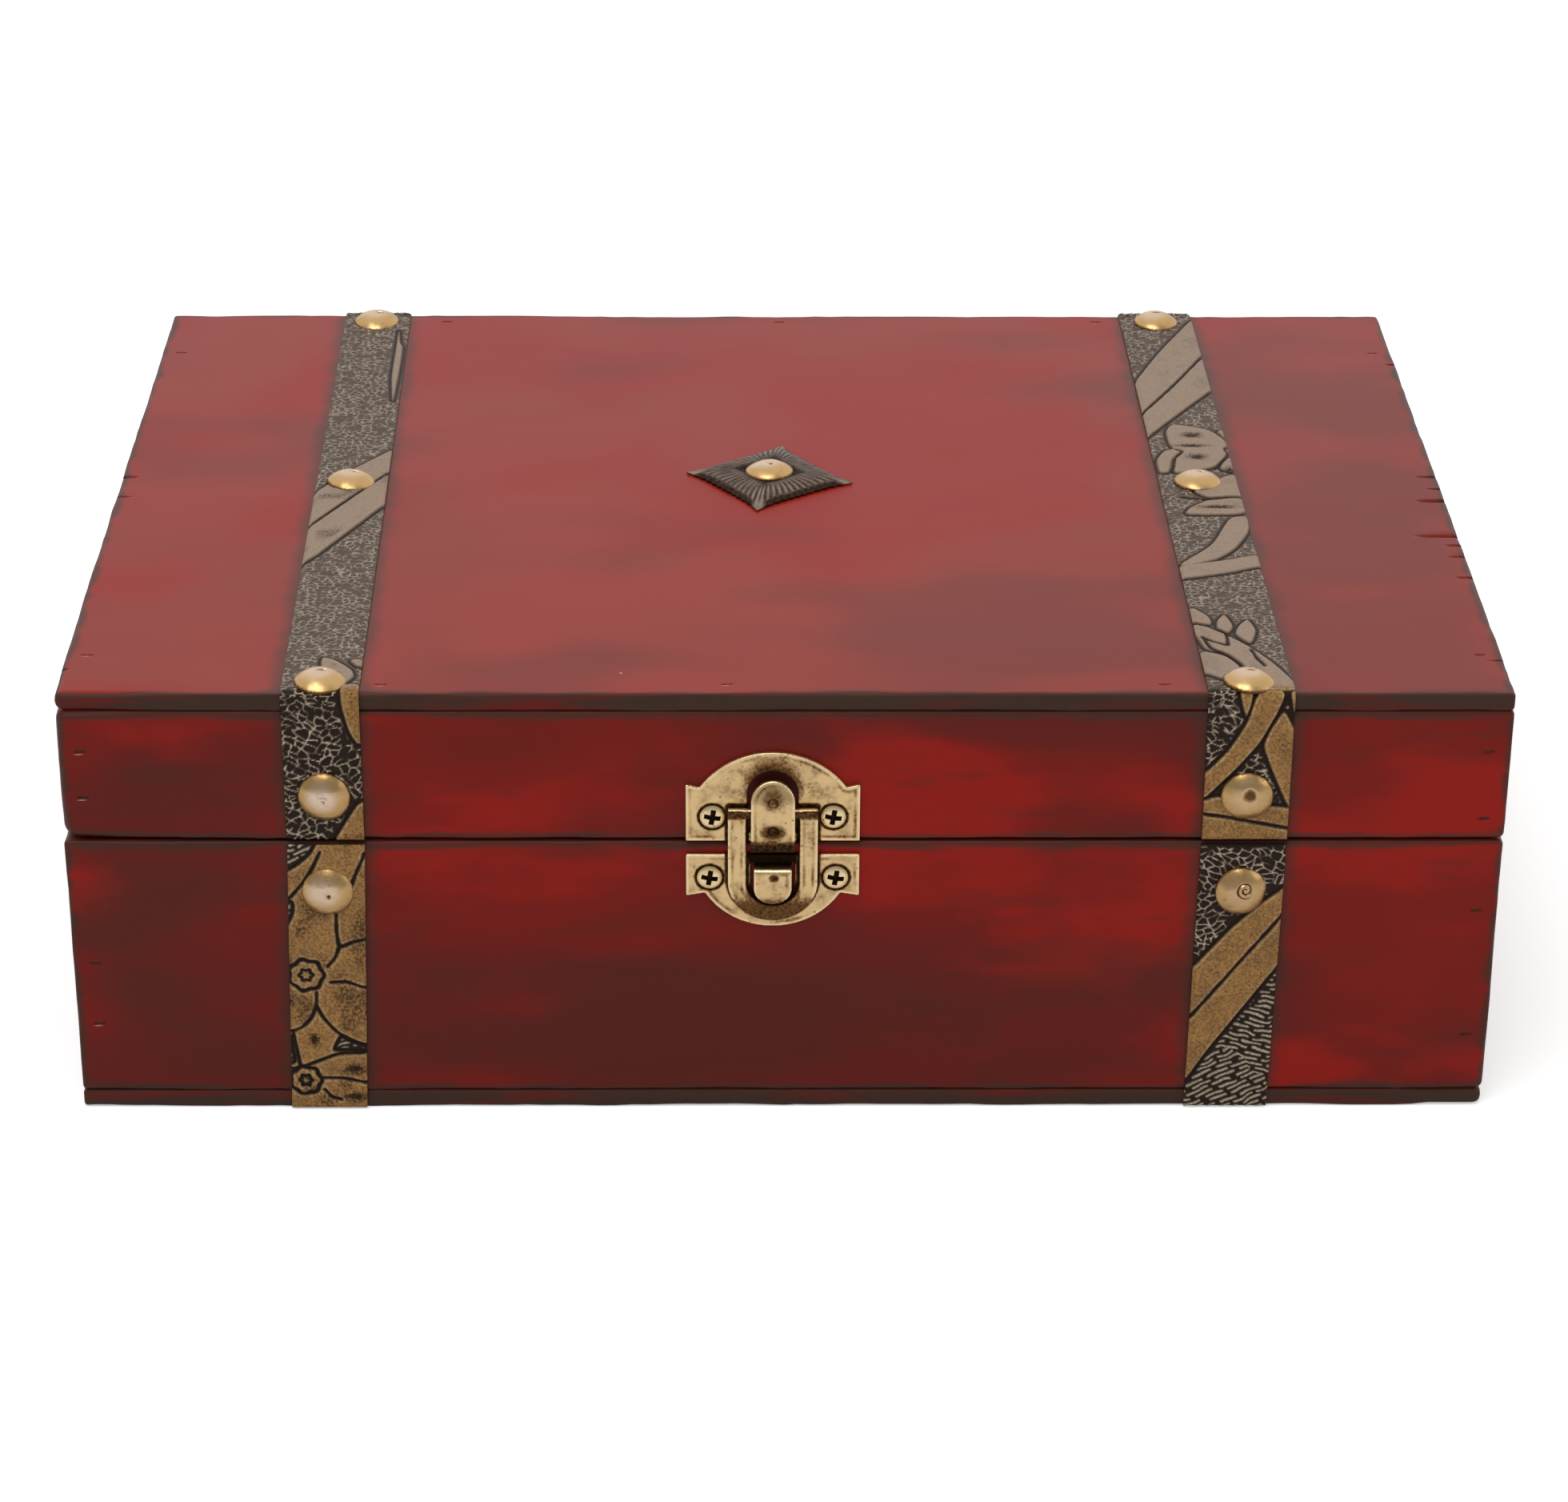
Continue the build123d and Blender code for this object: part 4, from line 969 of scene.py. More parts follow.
RIGHT_PATTERN = {
    "ground": [],
    "raised": [
        [(68.2, 0.6), (70.3, 0.6), (69.9, -2.4), (69.3, -4.2), (68.6, -1.8)],
        [(71, 0.6), (74.9, 0.6), (75.0, -1.4), (73.2, -5), (71.6, -8.4), (68.2, -12.8), (62, -19.6),
         (62, -15.2), (66.8, -10), (69.6, -5)],
        [(75.0, -2.8), (73.2, -6.0), (72.1, -8.8), (73.6, -12.8), (76, -18.4), (78, -21.6), (78, -8.4), (76.2, -5.2)],
        [(75.8, 0.6), (78, 0.6), (78, -6.2), (76.4, -3.2)],
        [(62, -18.9), (65.6, -17.3), (70, -18.6), (74.8, -19.2), (78, -19.6), (78, -26), (62, -26)],
        [(60, -51.2), (63.2, -47.6), (69, -40.4), (73, -36.4), (80, -31), (80, -42.6), (75.8, -47.8),
         (71.0, -55), (66, -62.4), (63.2, -67.2), (60, -72.8)],
        [(62.5, 7.6), (62.5, 13.6), (64.2, 14.2), (67.2, 12.7), (69.2, 9), (68.2, 4.8), (66.4, 4.2)],
        [(62.5, 30.8), (64.2, 30), (66.2, 26.8), (66.3, 23.8), (62.5, 25.6)],
        [(68.6, 28.2), (69.6, 23.6), (68.6, 20.9), (66.9, 22.6), (67.2, 25.6)],
        [(72.1, 26.2), (73.0, 22), (71.6, 16.8), (69.4, 20.6), (70.6, 24.2)],
        [(62.5, 24.6), (64.4, 24.2), (68.2, 20.2), (71.2, 16.2), (74.2, 10.4), (76.2, 5), (77.8, 1.6),
         (75.8, 0.4), (70.8, 0.8), (69.8, 9.6), (67.6, 13.4), (64.4, 15.0), (63.8, 18.4)],
        [(76.6, 66.2), (73.2, 66), (69.4, 54.6), (63, 46.6), (64.6, 46.4), (69.8, 49.2), (73, 53.4), (75.8, 60)],
        [(62, 41), (70.4, 43.6), (78.6, 47.4), (78.6, 51.8), (70.4, 48.4), (62, 45.9)],
        [(65.9, 67.1), (75.4, 67.1), (77.2, 70.4), (78.6, 73.8), (74, 73.8), (70, 72.8), (67, 69.8)],
        [(70.4, 74.2), (74.2, 74.9), (78.6, 74.8), (78.6, 85), (74.6, 83.6), (68, 77.2)],
        [(67.3, 106.4), (73.6, 103.8), (76.2, 98.4), (76.0, 94.2), (74.4, 89.6), (72.4, 86.8), (66.0, 84.4),
         (65.4, 87.4), (66.9, 94.2), (66.1, 97.6), (66.0, 103)],
        [(63.4, 84.6), (63.3, 90.2), (65.0, 94.4), (67.6, 95.2), (65.8, 90), (65.1, 85)],
        [(73.2, 86.4), (79, 82.6), (79, 91), (76.2, 92.6)],
        [(74.4, 103.2), (76.6, 98.8), (79, 96), (79, 105)],
        [(61, 97.6), (67.0, 107.8), (71.6, 115.4), (79, 127.4), (79, 162.4), (75.4, 156.6), (68, 140), (61, 121.4)],
    ],
    "base_all_raised": False,
    "smudged": 0.2,
    "cuts": [
        [(75.2, -0.6), (74.2, -3.6)],
        [(61, -20.2), (66, -20.7), (72, -21.9), (79, -23.4)],
        [(60, -60.2), (63.2, -56.3), (70, -47.1), (76.2, -38.8), (79, -35)],
        [(62.5, 24.9), (66.4, 22.9), (68.6, 20.3), (71.2, 16.5)],
        [(64.2, 19.4), (66.2, 17.4), (68.0, 16.3)],
        [(68.2, 20.4), (68.0, 16.3)],
        [(71.4, 14.8), (72.0, 11.6), (72.9, 9.0)],
        [(64.4, 19.4), (65.2, 15.2), (67.6, 13.2), (69.2, 9.6)],
        [(67.0, 94.8), (68.2, 93.9), (66.4, 91.0), (65.6, 84.8)],
        [(73, 86.7), (75.9, 92.6), (75.2, 95.0), (76.4, 96.4)],
        [(60.5, 106.6), (69, 123.4), (75.7, 138.3), (79, 145.6)],
        [(66, 74.6), (70.2, 73.5), (74.2, 74.3), (79, 74.3)],
    ],
    "dots": [(70.2, 101.0, 1.3, 0.9), (69.9, 96.3, 2.1, 0.55), (70.3, 91.4, 1.3, 0.9), (71.8, 70.0, 2.4, 0.55),
             (75.4, 85.6, 0.7, 1.2)],
    "rosettes": [],
}
GROOVE_HALF_WIDTH = 0.31
CLEAR_MARGIN = 0.55
TOOLED_ROWS = (0.84, 3.9)


def rounded_outline(points, closed):
    """A softened copy of a line: each corner is cut twice, near its point, so that tips stay slim."""
    line = np.array(points, float)
    for share in (0.16, 0.25):
        after = np.roll(line, -1, axis=0) if closed else line[1:]
        before = line if closed else line[:-1]
        near, far = before + share * (after - before), after + share * (before - after)
        cut = np.stack([near, far], 1).reshape(-1, 2)
        line = cut if closed else np.concatenate([line[:1], cut[1:-1], line[-1:]])
    return line


def distance_to_line(place, line, closed):
    """How far each place is from a line of points."""
    ends = np.roll(line, -1, axis=0) if closed else line[1:]
    starts = line if closed else line[:-1]
    nearest = np.full(len(place), 1e9)
    for start, end in zip(starts, ends):
        run = end - start
        share = np.clip(((place - start) @ run) / max(run @ run, 1e-9), 0, 1)
        nearest = np.minimum(nearest, np.linalg.norm(place - start - share[:, None] * run, axis=1))
    return nearest


def inside_outline(place, line):
    """Whether each place is inside a closed line."""
    within = np.zeros(len(place), bool)
    for start, end in zip(line, np.roll(line, -1, axis=0)):
        crosses = (start[1] > place[:, 1]) != (end[1] > place[:, 1])
        if start[1] != end[1]:
            at = start[0] + (place[:, 1] - start[1]) * (end[0] - start[0]) / (end[1] - start[1])
            within ^= crosses & (place[:, 0] < at)
    return within


def signed_distance(place, outline):
    """How deep each place lies in an outline; less than 0 outside it."""
    low, high = outline.min(0) - 2, outline.max(0) + 2
    near = ((place > low) & (place < high)).all(1)
    depth = np.full(len(place), -9.0)
    if near.any():
        spots = place[near]
        away = distance_to_line(spots, outline, True)
        depth[near] = np.where(inside_outline(spots, outline), away, -away)
    return depth


def tooling(place, pattern, crackle):
    """The masks of a strap's pattern, each from 0 to 1: raised, ridge, groove with a painted shade line round the
    raised pattern, rim as a painted highlight, dark smudges, and the top.
    """
    depth = np.full(len(place), -9.0)
    for points in pattern["raised"]:
        depth = np.maximum(depth, signed_distance(place, rounded_outline(points, True)))
    if pattern["base_all_raised"]:
        below_seam = ease(-25.4, -25.9, place[:, 1]) > 0.5
        clear = np.full(len(place), 9.0)
        for points in pattern["ground"]:
            clear = np.minimum(clear, -signed_distance(place, rounded_outline(points, True)))
        depth = np.where(below_seam, clear, depth)
    groove = np.zeros(len(place))
    line = np.full(len(place), 9.0)
    for points in pattern["cuts"]:
        line = np.minimum(line, distance_to_line(place, rounded_outline(points, False), False))
    shade = np.zeros(len(place))
    for x, v, half_x, half_v in pattern["dots"]:
        away = np.hypot((place[:, 0] - x) / half_x, (place[:, 1] - v) / half_v)
        groove = np.maximum(groove, 0.85 * ease(1.1, 0.5, away))
        shade = np.maximum(shade, ease(2.2, 0.8, away))
    for x, v, radius in pattern["rosettes"]:
        angle = np.arctan2(place[:, 1] - v, place[:, 0] - x)
        away = np.hypot(place[:, 0] - x, place[:, 1] - v)
        inner = (away < radius - 0.3).astype(float)
        line = np.where(inner > 0, 9.0, line)
        line = np.minimum(line, np.abs(away - radius * (1 + 0.06 * np.cos(7 * angle))) - 0.07)
        line = np.minimum(line, np.abs(away - 0.34 * radius * (1 + 0.16 * np.cos(6 * angle))) - 0.06)
        depth = np.maximum(depth, radius - away)
    line += 0.07 * soft_noise(place, 1.3, 15)
    groove = np.maximum(groove, ease(GROOVE_HALF_WIDTH * 1.45, GROOVE_HALF_WIDTH * 0.6, line))
    raised = ease(-0.12, 0.22, depth)
    # Painted shade: a dark line round the edge of the raised pattern, put into the groove mask.
    outline = ease(0.02, -0.16, depth) * ease(-0.62, -0.34, depth)
    groove = np.maximum(groove, 0.9 * outline)
    # Painted highlight: a pale rim inside the raised pattern's edge and beside the cut lines.
    rim = np.maximum(ease(0.5, 0.22, depth), 0.6 * ease(0.8, 0.55, line)) * raised
    smudge = pattern["smudged"] * ease(0.15, 0.8, soft_noise(place, 3.1, 16))
    shade = np.maximum(shade, smudge * ease(0.7, 1.5, depth))

    wobble = np.stack([soft_noise(place, 1.5, 8), soft_noise(place, 1.5, 9)], -1)
    shifted = place + 0.34 * wobble
    on_top = (place[:, 1] > -0.5) & (place[:, 1] < back_y - front_y + 0.5)
    flat_cells = crackle * np.array([1.0, 0.82])
    long_cells = crackle * np.array([1.4, 0.9])
    rising = soft_noise(place, 4.0, 20)[:, None] > 0
    slanted = np.where(rising, leaned(shifted, 30), leaned(shifted, -26))
    web = np.where(on_top, cell_borders(shifted, flat_cells, 11), cell_borders(slanted, long_cells, 29))
    broken = ease(-0.75, 0.1, soft_noise(place, 0.9, 13))
    ridge = np.where(on_top, ease(0.24, 0.05, web), ease(0.19, 0.03, web)) * broken
    strokes = place + 0.32 * wobble
    turned_rows = place[:, 1] + 0.9 * (place[:, 0] - 70) < -62 + 1.2 * soft_noise(place, 2.0, 19)
    tooled = np.where(turned_rows, stroke_rows(leaned(strokes, 26), 17), stroke_rows(leaned(strokes, -14), 18))
    # Strokes take the place of the crackle low on the right strap, and below the seam on the left
    rows_below = np.where(place[:, 0] > 0, -47, -25.6)
    ridge = np.where(place[:, 1] < rows_below, 0.82 * tooled, ridge)
    ridge *= ease(-CLEAR_MARGIN, -CLEAR_MARGIN - 0.3, depth)
    # The top mask: where the strap lies flat on top and takes its paler colours, partly dust and partly painted sheen.
    top_sheen_and_dust = ease(0.4, 2.6, place[:, 1]) * ease(back_y - front_y - 0.4, back_y - front_y - 2.6, place[:, 1])
    return raised, ridge, groove, rim, shade, top_sheen_and_dust


def stroke_rows(place, seed):
    """Rows of short raised strokes, side by side, from 0 to 1."""
    row_high, stroke_long = TOOLED_ROWS
    row = np.floor(place[:, 1] / row_high)
    across = np.abs(place[:, 1] / row_high - row - 0.5) * row_high
    start = place[:, 0] / stroke_long + scatter(np.stack([row, row], -1), seed)
    stroke = np.floor(start)
    gap = np.abs(start - stroke - 0.5) * stroke_long
    end = stroke_long * (0.38 + 0.1 * scatter(np.stack([row, stroke], -1), seed + 5))
    return ease(0.26, 0.1, across) * ease(end, end - 0.3, gap)


def leaned(place, degrees):
    """Places turned by an angle, so that a pattern's rows lean."""
    cos, sin = math.cos(math.radians(degrees)), math.sin(math.radians(degrees))
    return place @ np.array([[cos, -sin], [sin, cos]])


def strap_piece(node, settings, material, route, pattern):
    """A strap laid along its route, with its pattern as relief and as masks."""
    width, length, where, chart = route
    cell = settings.cell if length > 100 else settings.short_cell
    across = np.linspace(-width / 2, width / 2, round(width / cell) + 1)
    along = np.linspace(0, length, round(length / cell) + 1)
    side, run = np.meshgrid(across, along, indexing="ij")
    place = chart(side.ravel(), run.ravel())
    raised, ridge, groove, rim, shade, on_top = tooling(place, pattern, settings.crackle)
    height = settings.low + settings.relief * raised + settings.ridge_height * ridge
    height -= 0.24 * groove * (0.4 + 0.6 * raised)
    height += 0.03 * soft_noise(place, 0.9, 14)
    from_edge = np.minimum(width / 2 - np.abs(side), np.minimum(run, length - run)).ravel()
    height -= 0.22 * ease(0.5, 0.0, from_edge)
    top = where(side.ravel(), run.ravel(), height)
    sunk = np.full(len(along), -0.12)
    left = where(np.full(len(along), -width / 2), along, sunk)
    right = where(np.full(len(along), width / 2), along, sunk)
    points = np.concatenate([top, left, right])
    index = np.arange(len(top)).reshape(side.shape)
    low_left = len(top) + np.arange(len(along))
    low_right = low_left + len(along)
    faces = grid_faces(index).tolist()
    for upper, lower in ((index[0], low_left), (index[-1], low_right), (low_left, low_right)):
        faces += grid_faces(np.stack([upper, lower])).tolist()
    for end in (0, -1):
        faces.append([*index[:, end].tolist(), int(low_right[end]), int(low_left[end])])
    pad = np.zeros(2 * len(along))
    masks = {"raised": raised, "ridge": ridge, "groove": groove, "rim": rim, "shade": shade, "top": on_top}
    masks = {name: np.concatenate([values, pad]) for name, values in masks.items()}
    piece = make_piece(node + "_tooled", points, faces, material, masks)
    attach(piece, frame["nodes"][node]["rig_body"])
    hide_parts(node)


def lid_route(side):
    """The course of a lid strap: up the front, over the top and down the back, round the box's edges."""
    width, front, back, _ = strap_course(side)
    low_z = node_box(f"lid_strap_{side}")[0][2]
    bend = 0.8
    rise = box_top - bend - low_z
    arc = (bend + strap_thick) * math.pi / 2
    flat = back_y - front_y - 2 * bend
    turns = np.cumsum([rise, arc, flat, arc, rise])

    def where(across, run, height):
        y, z = np.empty_like(run), np.empty_like(run)
        up = run < turns[0]
        y[up], z[up] = front_y - height[up], low_z + run[up]
        first = (run >= turns[0]) & (run < turns[1])
        turn = (run[first] - turns[0]) / arc * math.pi / 2
        y[first] = front_y + bend - (bend + height[first]) * np.cos(turn)
        z[first] = box_top - bend + (bend + height[first]) * np.sin(turn)
        over = (run >= turns[1]) & (run < turns[2])
        y[over], z[over] = front_y + bend + run[over] - turns[1], box_top + height[over]
        second = (run >= turns[2]) & (run < turns[3])
        turn = (run[second] - turns[2]) / arc * math.pi / 2
        y[second] = back_y - bend + (bend + height[second]) * np.sin(turn)
        z[second] = box_top - bend + (bend + height[second]) * np.cos(turn)
        down = run >= turns[3]
        y[down], z[down] = back_y + height[down], box_top - bend - (run[down] - turns[3])
        share = np.clip((y - front_y) / (back_y - front_y), 0, 1)
        return np.stack([front + (back - front) * share + across, y, z], -1)

    def chart(across, run):
        course = run - turns[0] - arc / 2
        share = np.clip(course / (back_y - front_y), 0, 1)
        return np.stack([front + (back - front) * share + across, course], -1)

    return width, turns[-1], where, chart


def base_route(side, end):
    """The course of a base strap, from the seam down to the foot."""
    width, front, back, foot = strap_course(side)
    low, high = node_box(f"base_{end}_strap_{side}")
    length = high[2] - low[2]
    face, out = (front_y, -1) if end == "front" else (back_y, 1)
    head, toe = (front, foot) if end == "front" else (back, back)

    def middle(run):
        return head + (toe - head) * run / length

    def where(across, run, height):
        return np.stack([middle(run) + across, face + out * height, high[2] - run], -1)

    def chart(across, run):
        return np.stack([middle(run) + across, high[2] - run - strap_top], -1)

    return width, length, where, chart


class CHEST_OT_straps(bpy.types.Operator):
    """Make the tooled straps."""

    bl_idname = "chest.straps"
    bl_label = "Straps"

    def execute(self, context):
        settings = context.scene.chest_strap
        leather = make_materials(context.scene)["leather"]
        for side, pattern in (("left", LEFT_PATTERN), ("right", RIGHT_PATTERN)):
            strap_piece(f"lid_strap_{side}", settings, leather, lid_route(side), pattern)
            for end in ("front", "back"):
                strap_piece(f"base_{end}_strap_{side}", settings, leather, base_route(side, end), pattern)
        return {"FINISHED"}


# Fasteners, set on their spots by a node tree
def turned_profile(name, profile, count, material, masks=None, shape=None):
    """A closed piece turned from a profile of (radius, height) pairs that starts and ends on its axis."""
    profile = np.array(profile, float)
    angle = np.arange(count) * 2 * math.pi / count
    rings = profile[1:-1]
    body = np.stack(
        [
            rings[:, :1] * np.cos(angle),
            rings[:, :1] * np.sin(angle),
            np.repeat(rings[:, 1:], count, axis=1),
        ],
        -1,
    ).reshape(-1, 3)
    points = np.concatenate([[[0, 0, profile[0, 1]]], body, [[0, 0, profile[-1, 1]]]])
    if shape is not None:
        points = shape(points)
    index = 1 + np.arange(len(body)).reshape(len(rings), count)
    index = np.concatenate([index, index[:, :1]], axis=1)
    faces = grid_faces(index).tolist()
    last = len(points) - 1
    for first, second in zip(range(count), [*range(1, count), 0]):
        faces.append([0, int(index[0, first]), int(index[0, second])])
        faces.append([last, int(index[-1, second]), int(index[-1, first])])
    given = {key: make(points) for key, make in (masks or {}).items()}
    return make_piece(name, points, faces, material, given)


def setting_tree():
    """A node tree that sets copies of a template on points, each turned and tilted a little at random."""
    tree = bpy.data.node_groups.new("Set Fasteners", "GeometryNodeTree")
    sockets = (
        ("Geometry", "NodeSocketGeometry"),
        ("Templates", "NodeSocketCollection"),
        ("Tilt", "NodeSocketFloat"),
        ("Turn", "NodeSocketFloat"),
        ("Seed", "NodeSocketInt"),
        ("Material", "NodeSocketMaterial"),
    )
    for label, kind in sockets:
        tree.interface.new_socket(name=label, in_out="INPUT", socket_type=kind)
    tree.interface.new_socket(name="Geometry", in_out="OUTPUT", socket_type="NodeSocketGeometry")
    graph = Graph(tree)
    given = graph.node("NodeGroupInput").outputs
    facing = graph.node("GeometryNodeInputNamedAttribute", {"data_type": "FLOAT_VECTOR"}, {"Name": "facing"})
    aim = graph.node("FunctionNodeAlignRotationToVector", {"axis": "Z"}, {"Vector": facing.outputs[0]})
    spread = graph.node("ShaderNodeCombineXYZ", None, {"X": given["Tilt"], "Y": given["Tilt"], "Z": given["Turn"]})
    opposite = graph.node("ShaderNodeVectorMath", {"operation": "SCALE"}, {"Scale": -1.0})
    graph.feed(opposite.inputs[0], spread.outputs[0])
    draw = graph.node("FunctionNodeRandomValue", {"data_type": "FLOAT_VECTOR"}, {"Seed": given["Seed"]})
    graph.feed(draw.inputs[0], opposite.outputs[0])
    graph.feed(draw.inputs[1], spread.outputs[0])
    askew = graph.node("FunctionNodeEulerToRotation", None, {"Euler": draw.outputs[0]})
    turned = graph.node("FunctionNodeRotateRotation", {"rotation_space": "LOCAL"})
    graph.feed(turned.inputs["Rotation"], aim.outputs[0])
    graph.feed(turned.inputs["Rotate By"], askew.outputs[0])
    kind = graph.node("GeometryNodeInputNamedAttribute", {"data_type": "INT"}, {"Name": "kind"})
    templates = graph.node(
        "GeometryNodeCollectionInfo", None, {"Collection": given["Templates"], "Separate Children": True}
    )
    placed = graph.node(
        "GeometryNodeInstanceOnPoints", None, {"Points": given["Geometry"], "Pick Instance": True}
    )
    graph.feed(placed.inputs["Instance"], templates.outputs[0])
    graph.feed(placed.inputs["Instance Index"], kind.outputs[0])
    graph.feed(placed.inputs["Rotation"], turned.outputs[0])
    real = graph.node("GeometryNodeRealizeInstances", None, {"Geometry": placed.outputs[0]})
    painted = graph.node("GeometryNodeSetMaterial", None, {"Geometry": real.outputs[0], "Material": given["Material"]})
    graph.feed(graph.node("NodeGroupOutput").inputs[0], painted.outputs[0])
    return tree


def set_fasteners(name, tree, spots, templates, settings, turn, tilt, material, body, nodes):
    """Copies of the templates on spots of (place, facing, kind), as one plain mesh on one body."""
    mesh = bpy.data.meshes.new(name)
    mesh.from_pydata([(np.array(place) * MM).tolist() for place, facing, kind in spots], [], [])
    facing = mesh.attributes.new("facing", "FLOAT_VECTOR", "POINT")
    facing.data.foreach_set("vector", np.array([aim for place, aim, kind in spots], np.float32).ravel())
    kinds = mesh.attributes.new("kind", "INT", "POINT")
    kinds.data.foreach_set("value", [kind for place, aim, kind in spots])
    holder = bpy.data.objects.new(name, mesh)
    bpy.context.scene.collection.objects.link(holder)
    modifier = holder.modifiers.new("Set", "NODES")
    modifier.node_group = tree
    identifiers = {item.name: item.identifier for item in tree.interface.items_tree if item.in_out == "INPUT"}
    values = {"Templates": templates, "Tilt": tilt, "Turn": turn, "Seed": settings.seed, "Material": material}
    for label, value in values.items():
        modifier[identifiers[label]] = value
    view = bpy.context.evaluated_depsgraph_get()
    plain = bpy.data.meshes.new_from_object(holder.evaluated_get(view), depsgraph=view)
    holder.modifiers.clear()
    holder.data = plain
    plain.name = name
    plain.shade_smooth()
    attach(holder, body)
    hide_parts(*nodes)


def spots_of(node, facing):
    """Where a set of fasteners stands: the middle of each one, at its highest place on the side that it faces."""
    axis = int(np.argmax(np.abs(facing)))
    spots = []
    for low, high in islands(node):
        place = (low + high) / 2
        place[axis] = high[axis] if facing[axis] > 0 else low[axis]
        spots.append((place, facing, 0))
    return spots


def template_set(name, pieces):
    """Templates in a collection of their own, in this order."""
    collection = bpy.data.collections.new(name)
    for piece in pieces:
        collection.objects.link(piece)
        bpy.context.scene.collection.objects.unlink(piece)
    return collection


def clear_templates(collection):
    for piece in list(collection.objects):
        bpy.data.objects.remove(piece)
    bpy.data.collections.remove(collection)


FRONT, BACK, UP = (0, -1, 0), (0, 1, 0), (0, 0, 1)
# How many corners a turned head has round it
TACK_CORNERS, SCREW_CORNERS = 64, 96
# How high a screw's crown stands over its rim, in millimetres
LATCH_CROWN, HINGE_CROWN = 0.45, 0.3


# Where each kind of mark sits on a tack, in millimetres, and how much of its crown is painted pale, as rubbed wear and
# a painted highlight
PLAIN_DIMPLE, BROAD_DIMPLE, SLOT_DIMPLE, CURL, FAINT_CURL = range(5)
MARK_PLACES = {
    PLAIN_DIMPLE: (0.1, -0.2),
    BROAD_DIMPLE: (0.2, 0.85),
    SLOT_DIMPLE: (0.35, -0.2),
    CURL: (0.3, 0.85),
    FAINT_CURL: (0.1, -0.25),
}
CROWN_WEAR_AND_HIGHLIGHT = {PLAIN_DIMPLE: 0.7, BROAD_DIMPLE: 0.2, SLOT_DIMPLE: 0.6, CURL: 0.2, FAINT_CURL: 0.85}


def tack_mark(kind, place, size):
    """How deep a tack's mark is at each place, from 0 to 1: a dimple, a broad one, a slot or a curl."""
    x, y = (place[:, :2] - MARK_PLACES[kind]).T
    away, angle = np.hypot(x, y), np.arctan2(y, x)
    if kind == PLAIN_DIMPLE:
        return 0.45 * ease(size * 1.3, 0.2, away) + 0.55 * ease(size * 0.45, 0.1, np.hypot(x - 0.2, y))
    if kind == BROAD_DIMPLE:
        return 0.9 * ease(size * 1.35, size * 0.5, away + 0.25 * soft_noise(place, 0.9, 26))
    if kind == SLOT_DIMPLE:
        return 0.8 * ease(1.0, 0.4, np.hypot(x / 1.3, (y - 0.9) / 0.45)) + 0.3 * ease(size, 0.2, away)
    pitch = 0.8
    turns = (away / pitch - angle / (2 * math.pi)) % 1
    line = np.minimum(turns, 1 - turns) * pitch
    if kind == FAINT_CURL:
        return 0.3 * ease(0.2, 0.06, line) * ease(size * 1.3, size, away) + 0.4 * ease(0.45, 0.1, away)
    return 0.9 * ease(0.22, 0.07, line) * ease(size * 1.5, size * 1.35, away)


def tack_template(kind, settings, height, radius):
    """A domed head with its mark and a short shank, whose crown is at 0."""
    rim_z = -height - settings.rim_drop
    shares = np.linspace(1, 0, 42)[:-1]
    sphere = (radius**2 + height**2) / (2 * height)
    profile = [(0, rim_z - 0.6), (0.6, rim_z - 0.6), (0.6, -height + 0.1), (radius - 0.45, rim_z + 0.18)]
    profile += [(radius - 0.4, rim_z), (radius - 0.06, rim_z), (radius, rim_z + 0.12)]
    for share in shares:
        r = radius * share
        dome = math.sqrt(sphere**2 - r**2) - sphere
        profile.append((r, dome * (0.8 + 0.2 * share)))
    profile.append((0, 0))
    drift = 40.0 * kind

    # The pale crown is set off centre, where a painted highlight falls.
    def from_highlight(points):
        lobes = 0.45 * soft_noise(points + drift, 3.0, 24)
        return np.hypot(points[:, 0] + 0.3, points[:, 1] - 0.3) + lobes

    # A dark ring at the rim as painted shade where the head meets the strap, darker marks, and dirt spots.
    def shaded_and_dirty(points):
        away = np.hypot(points[:, 0], points[:, 1])
        spots = 0.25 * ease(0.55, 0.85, soft_noise(points + drift, 0.8, 25))
        marked = 0.7 * tack_mark(kind, points, settings.dimple) ** 1.5 * (points[:, 2] > rim_z + 0.3)
        return np.maximum(np.maximum(0.7 * ease(radius - 0.5, radius + 0.02, away), marked), spots)

    pale = CROWN_WEAR_AND_HIGHLIGHT[kind]
    # Rubbed pale crowns, partly a painted highlight.
    masks = {"grime_and_shade": shaded_and_dirty, "rubbed": lambda p: pale * ease(radius - 0.9, radius - 2.9, from_highlight(p))}

    def dented(points):
        bumps = 0.1 * soft_noise(points + drift, 2.6, 21) + 0.03 * soft_noise(points + drift, 0.8, 22)
        head = points[:, 2] > -height
        sunk = 0.3 * tack_mark(kind, points, settings.dimple) * head
        lifted = points + np.array([0, 0, 1]) * (bumps - 0.13 - sunk)[:, None]
        swell = 1 - 0.035 * (0.5 + 0.5 * soft_noise(points + drift, 3.4, 23))
        lifted[:, :2] *= swell[:, None]
        return lifted

    return turned_profile(f"tack_template_{kind}", profile, TACK_CORNERS, None, masks, dented)


